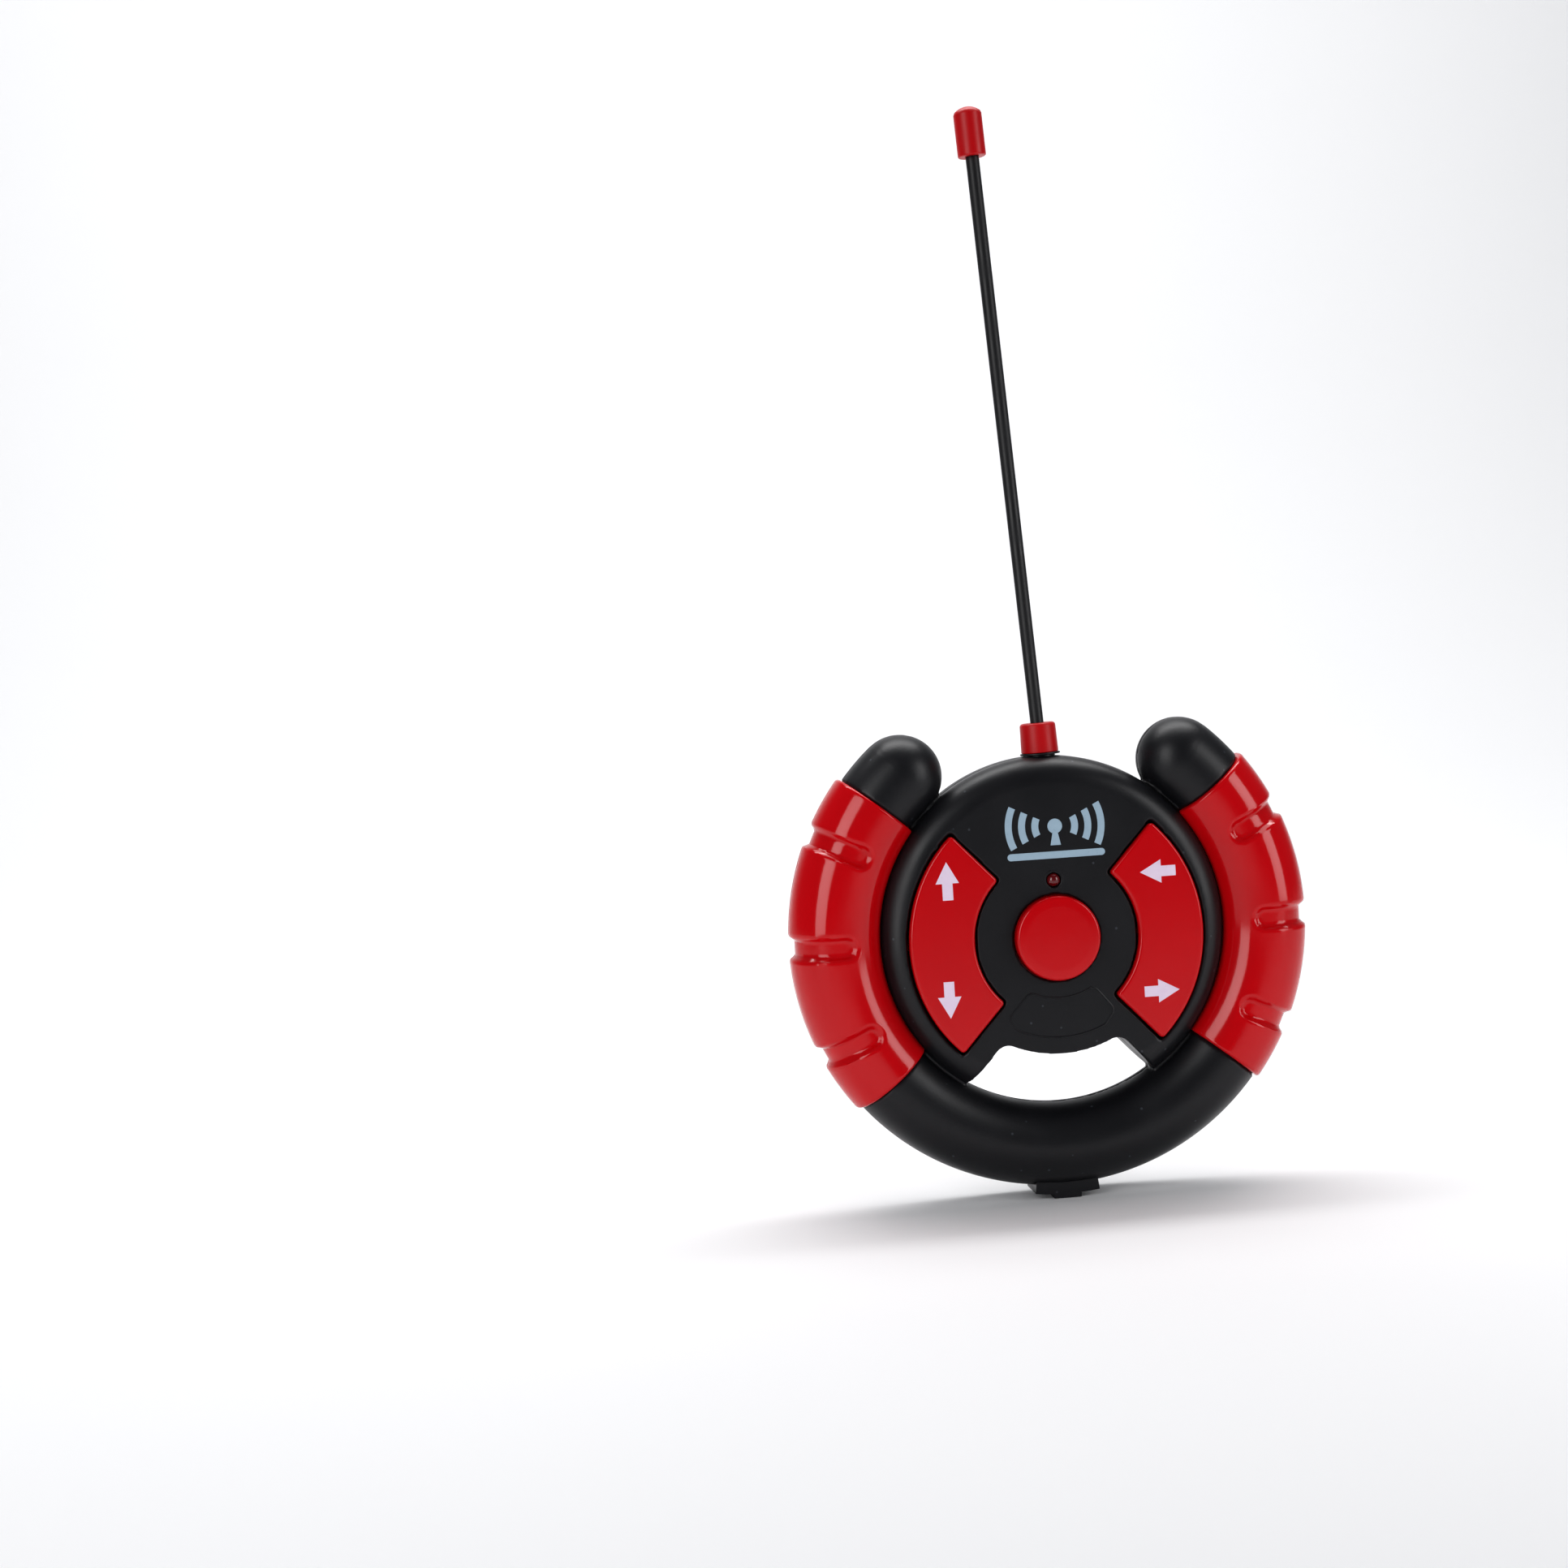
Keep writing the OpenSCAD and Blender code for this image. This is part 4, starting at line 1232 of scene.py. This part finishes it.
@dataclass
class Fasteners:
    """Every screw, with its head's edges and its cross recess softened."""

    bench: Bench

    def build(self) -> None:
        """Builds the screws from their CAD shapes."""
        finishes = self.bench.finishes
        for node, body, edge in (
            ("shell_screws", Body.MAIN, 0.25), ("grip_screws", Body.MAIN, 0.25),
            ("board_screws", Body.MAIN, 0.2), ("battery_door_screw", Body.DOOR_SCREW, 0.2),
        ):
            self.bench.add(f"{node}_plated", self.bench.softened(node, edge), body, "screw_steel",
                           finishes.screw_steel, [node])


@dataclass
class BatteryBay:
    """The cells, springs, contact plates, wires and the door.

    Attributes:
        cell_r: Radius of a cell.
        cell_length: Length of a cell with its button.
        cell_z: Depth of the cells' axes.
        cell_y: Heights of the two cells.
        bay_half: Half length of the bay.
        label_seam: Where the label's two lengths meet, from the cell's button.
        wire_r: Radius of the springs' wire.
        spring_r: Radius of a spring's coil at the cell and at the plate.
        spring_turns: Its number of turns.
    """

    bench: Bench
    cell_r: float = 7.1
    cell_length: float = 50.5
    cell_z: float = -12.1
    cell_y: Sequence[float] = field(default_factory=lambda: (-9.3, 5.3))
    bay_half: float = 29.0
    label_seam: float = 16.0
    wire_r: float = 0.4
    spring_r: Point2 = (2.4, 5.3)
    spring_turns: int = 4

    def build(self) -> None:
        """Builds what the box holds, and its door."""
        finishes = self.bench.finishes
        cells = Shape()
        springs = Shape()
        for y, mirrored in zip(self.cell_y, (1, -1), strict=True):
            self._cell(cells, y, mirrored)
            self._spring(springs, y, mirrored)
        self.bench.add("cells_labelled", self.bench.mesh(cells), Body.MAIN, "cell_label",
                       finishes.label, ["battery_cells"])
        self.bench.add("springs_wound", self.bench.mesh(springs, 60.0), Body.MAIN, "contact_nickel",
                       finishes.nickel, ["battery_springs"])
        self.bench.add("contact_plates_soft", self.bench.softened("battery_plates", 0.12), Body.MAIN,
                       "contact_nickel", finishes.nickel, ["battery_plates"])
        self.bench.dress("battery_wires", finishes.wire_red)
        self.bench.add("door_moulding", self.bench.softened("battery_door", 0.35), Body.DOOR, "black_abs",
                       finishes.black_abs, ["battery_door"])

    def _along(self, y: float, mirrored: int) -> Matrix:
        """Gives a cell's axis: z runs from its button to its flat end."""
        turn = Matrix.Rotation(mirrored * math.pi / 2, 4, "Y")
        return Matrix.Translation((-mirrored * (self.bay_half - 0.5), y, self.cell_z)) @ turn

    def _cell(self, shape: Shape, y: float, mirrored: int) -> None:
        """Adds one cell: its button, a film label in two lengths with rolled edges, and its flat end."""
        place = self._along(y, mirrored)
        long, r = self.cell_length, self.cell_r
        button = rounded([
            (0, 0, 0), (2.6, 0, 0.3), (2.6, 1.3, 0.1), (5.6, 1.3, 0.3), (5.6, 1.7, 0.2), (r - 0.5, 1.7, 0),
        ], 4)
        shape.lathe(place, [*button, (r - 0.5, 2.2)], 64)
        seam = self.label_seam
        upper = rounded([(r - 0.9, 1.5, 0), (r - 0.5, 1.25, 0.1), (r, 1.6, 0.3), (r, seam, 0)], 4)
        shape.lathe(place, upper, 64)
        lower = rounded([(r, seam, 0), (r, long - 0.4, 0.3), (r - 0.5, long, 0.1), (r - 1, long - 0.2, 0)], 4)
        shape.lathe(place, lower, 64)
        flat = rounded([
            (r - 1.1, long - 0.6, 0), (r - 1.1, long - 0.25, 0.2), (4, long - 0.25, 0.3),
            (3.6, long, 0.3), (0, long, 0),
        ], 4)
        shape.lathe(place, flat, 64)

    def _spring(self, shape: Shape, y: float, mirrored: int) -> None:
        """Adds one conical spring, wound from the cell to the plate."""
        place = self._along(y, mirrored)
        start = self.cell_length + 0.45
        end = 2 * self.bay_half - 1.35
        steps = self.spring_turns * 28
        path = []
        for k in range(steps + 1):
            t = k / steps
            radius = self.spring_r[0] + (self.spring_r[1] - self.spring_r[0]) * t
            angle = math.tau * self.spring_turns * t
            # the first and the last turn lie nearly flat
            rise = t * t * (3 - 2 * t)
            height = start + (end - start) * rise
            path.append(place @ Vector((radius * math.cos(angle), radius * math.sin(angle), height)))
        shape.tube(path, self.wire_r, 10)


@dataclass
class Electronics:
    """The board and what is soldered to it, and the rubber keypad."""

    bench: Bench

    def build(self) -> None:
        """Dresses the board and keypad, and softens the parts' edges."""
        finishes = self.bench.finishes
        self.bench.dress("circuit_board", finishes.board)
        self.bench.dress("rubber_keypad", finishes.silicone)
        self.bench.dress("electrolytic_capacitors", finishes.sleeve)
        self.bench.dress("resistors", finishes.lacquer)
        for node, finish, slot, edge in (
            ("encoder_chip", finishes.epoxy, "chip_black", 0.08),
            ("power_transistors", finishes.epoxy, "chip_black", 0.1),
            ("crystal", finishes.tinned_can, "can_steel", 0.2),
            ("tuning_coil", finishes.tinned_can, "can_steel", 0.2),
        ):
            self.bench.add(f"{node}_part", self.bench.softened(node, edge), Body.MAIN, slot, finish, [node])


@dataclass
class Antenna:
    """The neck, the collar, the rod with its wire, and the cap.

    Attributes:
        collar_low: Height of the collar's foot on the neck's axis.
        collar_top: Height of its top.
        collar_r: Its radius at the foot.
        collar_top_r: Its radius at the top.
        rod_r: Radius of the rod.
        rod_length: Distance from the rod's flange to the cap.
        flange_z: Height of the rod's flange on the neck's axis.
        cap_r: Radius of the cap.
        cap_length: Length of the cap.
        dome_r: Radius of the cap's domed top.
        socket: How far the rod goes into the cap.
        core_r: Radius of the wire's hole in the rod.
        flange_r: Radius of the rod's flange.
        neck_r: Radius of the neck and of its thread's crests.
        root_r: Radius of the thread's roots.
        neck_foot: Height of the neck's foot, inside the hub.
        ring_r: Radius of the ring below the collar.
        flange_step: Height at which the collar's hole widens for the flange.
        collar_bore: Radius of that wider hole.
        thread_turns: Number of the thread's turns, at a pitch of 1 mm.
    """

    bench: Bench
    collar_low: float = 0.85
    collar_top: float = 9.35
    collar_r: float = 5.3
    collar_top_r: float = 5.06
    rod_r: float = 1.9
    rod_length: float = 163.2
    flange_z: float = 6.8
    cap_r: float = 4.0
    cap_length: float = 14.0
    dome_r: float = 5.4
    socket: float = 5.8
    core_r: float = 0.8
    flange_r: float = 3.9
    neck_r: float = 4.2
    root_r: float = 4.02
    neck_foot: float = -5.0
    ring_r: float = 5.7
    flange_step: float = 7.2
    collar_bore: float = 4.3
    thread_turns: int = 5

    def build(self) -> None:
        """Builds the antenna from the hub upwards."""
        finishes = self.bench.finishes
        neck, rod = self.bench.neck, self._rod_place()
        self.bench.add("neck_moulding", self.bench.mesh(self._neck(neck), 40.0), Body.MAIN, "black_abs",
                       finishes.black_abs, ["antenna_neck"])
        self.bench.dress("antenna_lead", finishes.wire_black)
        collar = rounded([
            (self.rod_r + 0.25, self.flange_step, 0), (self.rod_r + 0.25, self.collar_top, 0.25),
            (self.collar_top_r, self.collar_top, 1.0), (self.collar_r, self.collar_low, 0.3),
            (self.collar_bore, self.collar_low, 0.2), (self.collar_bore, self.flange_step, 0),
        ], 8)
        self.bench.add("collar_moulding", self.bench.mesh(Shape().lathe(neck, collar, 96, looped=True), 45.0),
                       Body.COLLAR, "red_satin", finishes.red_satin, ["antenna_collar"])
        sleeve = rounded([
            (self.core_r, -0.2, 0), (self.flange_r, -0.2, 0.15), (self.flange_r, 0.2, 0.15),
            (self.rod_r, 0.2, 0.1), (self.rod_r, self.rod_length + self.socket, 0.3),
            (self.core_r, self.rod_length + self.socket, 0),
        ], 4)
        self.bench.add("rod_sleeve", self.bench.mesh(Shape().lathe(rod, sleeve, 40, looped=True), 40.0),
                       Body.ANTENNA, "black_rod", finishes.black_rod, ["antenna_rod"])
        self.bench.dress("antenna_core", finishes.nickel)
        cap = Shape().lathe(rod, self._cap(), 72, looped=True)
        self.bench.add("cap_moulding", self.bench.mesh(cap, 45.0), Body.ANTENNA, "red_satin",
                       finishes.red_satin, ["antenna_cap"])

    def _rod_place(self) -> Matrix:
        """Gives the rod's axis, which leans a little more than the collar's."""
        lean = Matrix.Rotation(math.radians(-self.bench.sizes.rod_lean), 4, "Y")
        return self.bench.neck @ Matrix.Translation((0, 0, self.flange_z)) @ lean

    def _neck(self, place: Matrix) -> Shape:
        """Makes the neck, with a rounded ring below the collar and a thread inside it."""
        thread = []
        crest, root, foot = self.neck_r, self.root_r, self.neck_foot
        for k in range(self.thread_turns):
            z = 1.4 + k
            thread += [
                (root, z - 0.3, 0), (crest, z - 0.12, 0.05), (crest, z + 0.12, 0.05), (root, z + 0.3, 0),
            ]
        profile = rounded([
            (1.5, foot, 0), (6, foot, 0.2), (6, foot + 1.6, 0.2), (crest, foot + 1.6, 0), (crest, 0.25, 0),
            (self.ring_r, 0.25, 0.2), (self.ring_r, 0.75, 0.2), (root, 0.75, 0), *thread,
            (root, 6.4, 0.2), (1.5, 6.4, 0),
        ], 3)
        return Shape().lathe(place, profile, 64, looped=True)

    def _cap(self) -> list[Point2]:
        """Gives the cap's closed profile: a blind hole, a soft lower lip and a domed top."""
        low = self.rod_length
        dome_z = low + self.cap_length - self.dome_r
        edge = math.acos(self.cap_r / self.dome_r)
        dome = []
        for k in range(13):
            a = edge + (math.pi / 2 - edge) * k / 12
            dome.append((self.dome_r * math.cos(a), dome_z + self.dome_r * math.sin(a)))
        shoulder = dome[0]
        corners = [
            (0.0, low + self.socket, 0), (self.rod_r, low + self.socket, 0), (self.rod_r, low, 0.2),
            (self.cap_r, low, 0.45), (shoulder[0], shoulder[1] - 0.4, 0.5),
        ]
        return [*rounded([*corners, (*dome[1], 0)], 6), *dome[2:]]


# ---------------------------------------------------------------- studio


@dataclass(frozen=True)
class Softbox:
    """A flat soft light that faces the wheel.

    Attributes:
        name: The light's name.
        azimuth: Its direction from the wheel, in degrees to the right of the front.
        elevation: Its direction above the horizon, in degrees.
        distance: Its distance, in metres.
        width: Its width, in metres.
        height: Its height, in metres.
        power: Its power, in watts.
        aim: The point that it faces, from the wheel's centre, in metres.
        spread: How wide its light fans out, in degrees.
    """

    name: str
    azimuth: float
    elevation: float
    distance: float
    width: float
    height: float
    power: float
    aim: tuple[float, float, float] = (0.0, 0.0, 0.0)
    spread: float = 180.0

    def build(self, centre: Vector) -> None:
        """Adds the light.

        Args:
            centre: The wheel's centre, in the row frame.
        """
        lamp = bpy.data.lights.new(self.name, "AREA")
        lamp.shape = "RECTANGLE"
        lamp.size = self.width
        lamp.size_y = self.height
        lamp.energy = self.power
        lamp.spread = math.radians(self.spread)
        az, el = math.radians(self.azimuth), math.radians(self.elevation)
        away = Vector((math.sin(az) * math.cos(el), -math.cos(az) * math.cos(el), math.sin(el)))
        item = bpy.data.objects.new(self.name, lamp)
        item.location = centre + away * self.distance
        item.rotation_euler = (item.location - centre - Vector(self.aim)).to_track_quat("Z", "Y").to_euler()
        bpy.context.scene.collection.objects.link(item)


@dataclass
class Studio:
    """The floor, the lights and the camera.

    Attributes:
        azimuth: Direction of the camera from the wheel, in degrees to the left of the front.
        elevation: Its direction above the horizon.
        roll: Lean of the picture.
        distance: Distance of the camera from the wheel's centre, in metres.
        lens: Focal length, in millimetres on a 36 mm sensor.
        offset: Where the wheel's centre lies off the picture's middle, as tangents right and up.
        floor_half: Half width of the floor, in metres.
        floor_front: Its front edge.
        bend_start: Where it starts to curve up.
        bend_r: Radius of the curve.
        backdrop_top: Height of the backdrop.
        floor_sink: How far the floor lies below the foot.
    """

    bench: Bench
    azimuth: float = 11.76
    elevation: float = 6.56
    roll: float = 3.09
    distance: float = 0.6955
    lens: float = 55.27
    offset: Point2 = (0.1099, -0.0602)
    floor_half: float = 5.0
    floor_front: float = -5.0
    bend_start: float = 0.8
    bend_r: float = 1.2
    backdrop_top: float = 2.4
    floor_sink: float = 0.0002

    def build(self) -> None:
        """Builds the studio round the wheel."""
        centre = Vector((0, 0, self.bench.centre_height * MM))
        self._camera(centre)
        self._floor()
        for light in (
            Softbox("overhead", 170, 76, 0.8, 0.8, 0.5, 3.4),
            Softbox("left_window", -46, 16, 1.0, 0.45, 0.8, 1.6, spread=110),
            Softbox("right_window", 54, 14, 1.0, 0.4, 0.8, 1.4, spread=110),
            Softbox("backdrop_wash", 180, 74, 1.6, 2.4, 0.6, 30.0, (0.0, 1.9, 0.45)),
        ):
            light.build(centre)
        world = bpy.data.worlds.new("studio")
        world.use_nodes = True
        sky = world.node_tree.nodes["Background"].inputs
        sky["Color"].default_value = linear("#DDE2EA")
        sky["Strength"].default_value = 0.14
        bpy.context.scene.world = world
        bpy.context.scene.view_settings.view_transform = "Standard"
        bpy.context.scene.view_settings.look = "Medium High Contrast"

    def _camera(self, centre: Vector) -> None:
        """Adds the camera."""
        psi, eps, rho = (math.radians(a) for a in (self.azimuth, self.elevation, self.roll))
        back = Vector((-math.sin(psi) * math.cos(eps), -math.cos(psi) * math.cos(eps), math.sin(eps)))
        level = Vector((math.cos(psi), -math.sin(psi), 0))
        upright = level.cross(-back)
        right = level * math.cos(rho) - upright * math.sin(rho)
        up = upright * math.cos(rho) + level * math.sin(rho)
        view = Matrix((right, up, -back)).transposed()
        aim = Vector((self.offset[0], self.offset[1], 1)).normalized()
        swing = Vector((0, 0, 1)).rotation_difference(aim).to_matrix()
        axes = view @ swing.transposed()
        pose = Matrix((axes.col[0], axes.col[1], -axes.col[2])).transposed().to_4x4()
        data = bpy.data.cameras.new("camera")
        data.lens = self.lens
        data.sensor_width = 36.0
        data.clip_start = 0.01
        camera = bpy.data.objects.new("camera", data)
        camera.matrix_world = Matrix.Translation(centre + back * self.distance) @ pose
        bpy.context.scene.collection.objects.link(camera)
        bpy.context.scene.camera = camera

    def _floor(self) -> None:
        """Adds a pale floor that curves up into a backdrop."""
        steps = 16
        line = [(self.floor_front, 0.0), (self.bend_start, 0.0)]
        for k in range(1, steps + 1):
            a = math.pi / 2 * k / steps
            line.append((self.bend_start + self.bend_r * math.sin(a), self.bend_r * (1 - math.cos(a))))
        line.append((self.bend_start + self.bend_r, self.backdrop_top))
        mesh = bpy.data.meshes.new("studio_floor")
        points = [(x, y, z - self.floor_sink) for y, z in line for x in (-self.floor_half, self.floor_half)]
        faces = [(2 * i, 2 * i + 1, 2 * i + 3, 2 * i + 2) for i in range(len(line) - 1)]
        mesh.from_pydata(points, [], faces)
        mesh.shade_smooth()
        paper = Finish("pale_paper", "#F1F1F2", "#EFEFF0", 400.0, (0.8, 0.9), 1.5, 0.01)
        mesh.materials.append(self.bench.finishes.material(paper))
        floor = bpy.data.objects.new("studio_floor", mesh)
        bpy.context.scene.collection.objects.link(floor)


def main() -> None:
    """Builds every sub-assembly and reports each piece."""
    logging.basicConfig(level=logging.INFO, format="%(name)s: %(message)s")
    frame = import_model()
    bench = Bench(frame, WheelSizes())
    for part in (
        Studio, WheelShells, Grips, Rockers, CentreButton, Lamp, FrontPrint, Fasteners,
        BatteryBay, Electronics, Antenna,
    ):
        part(bench).build()


if __name__ == "__main__":
    main()
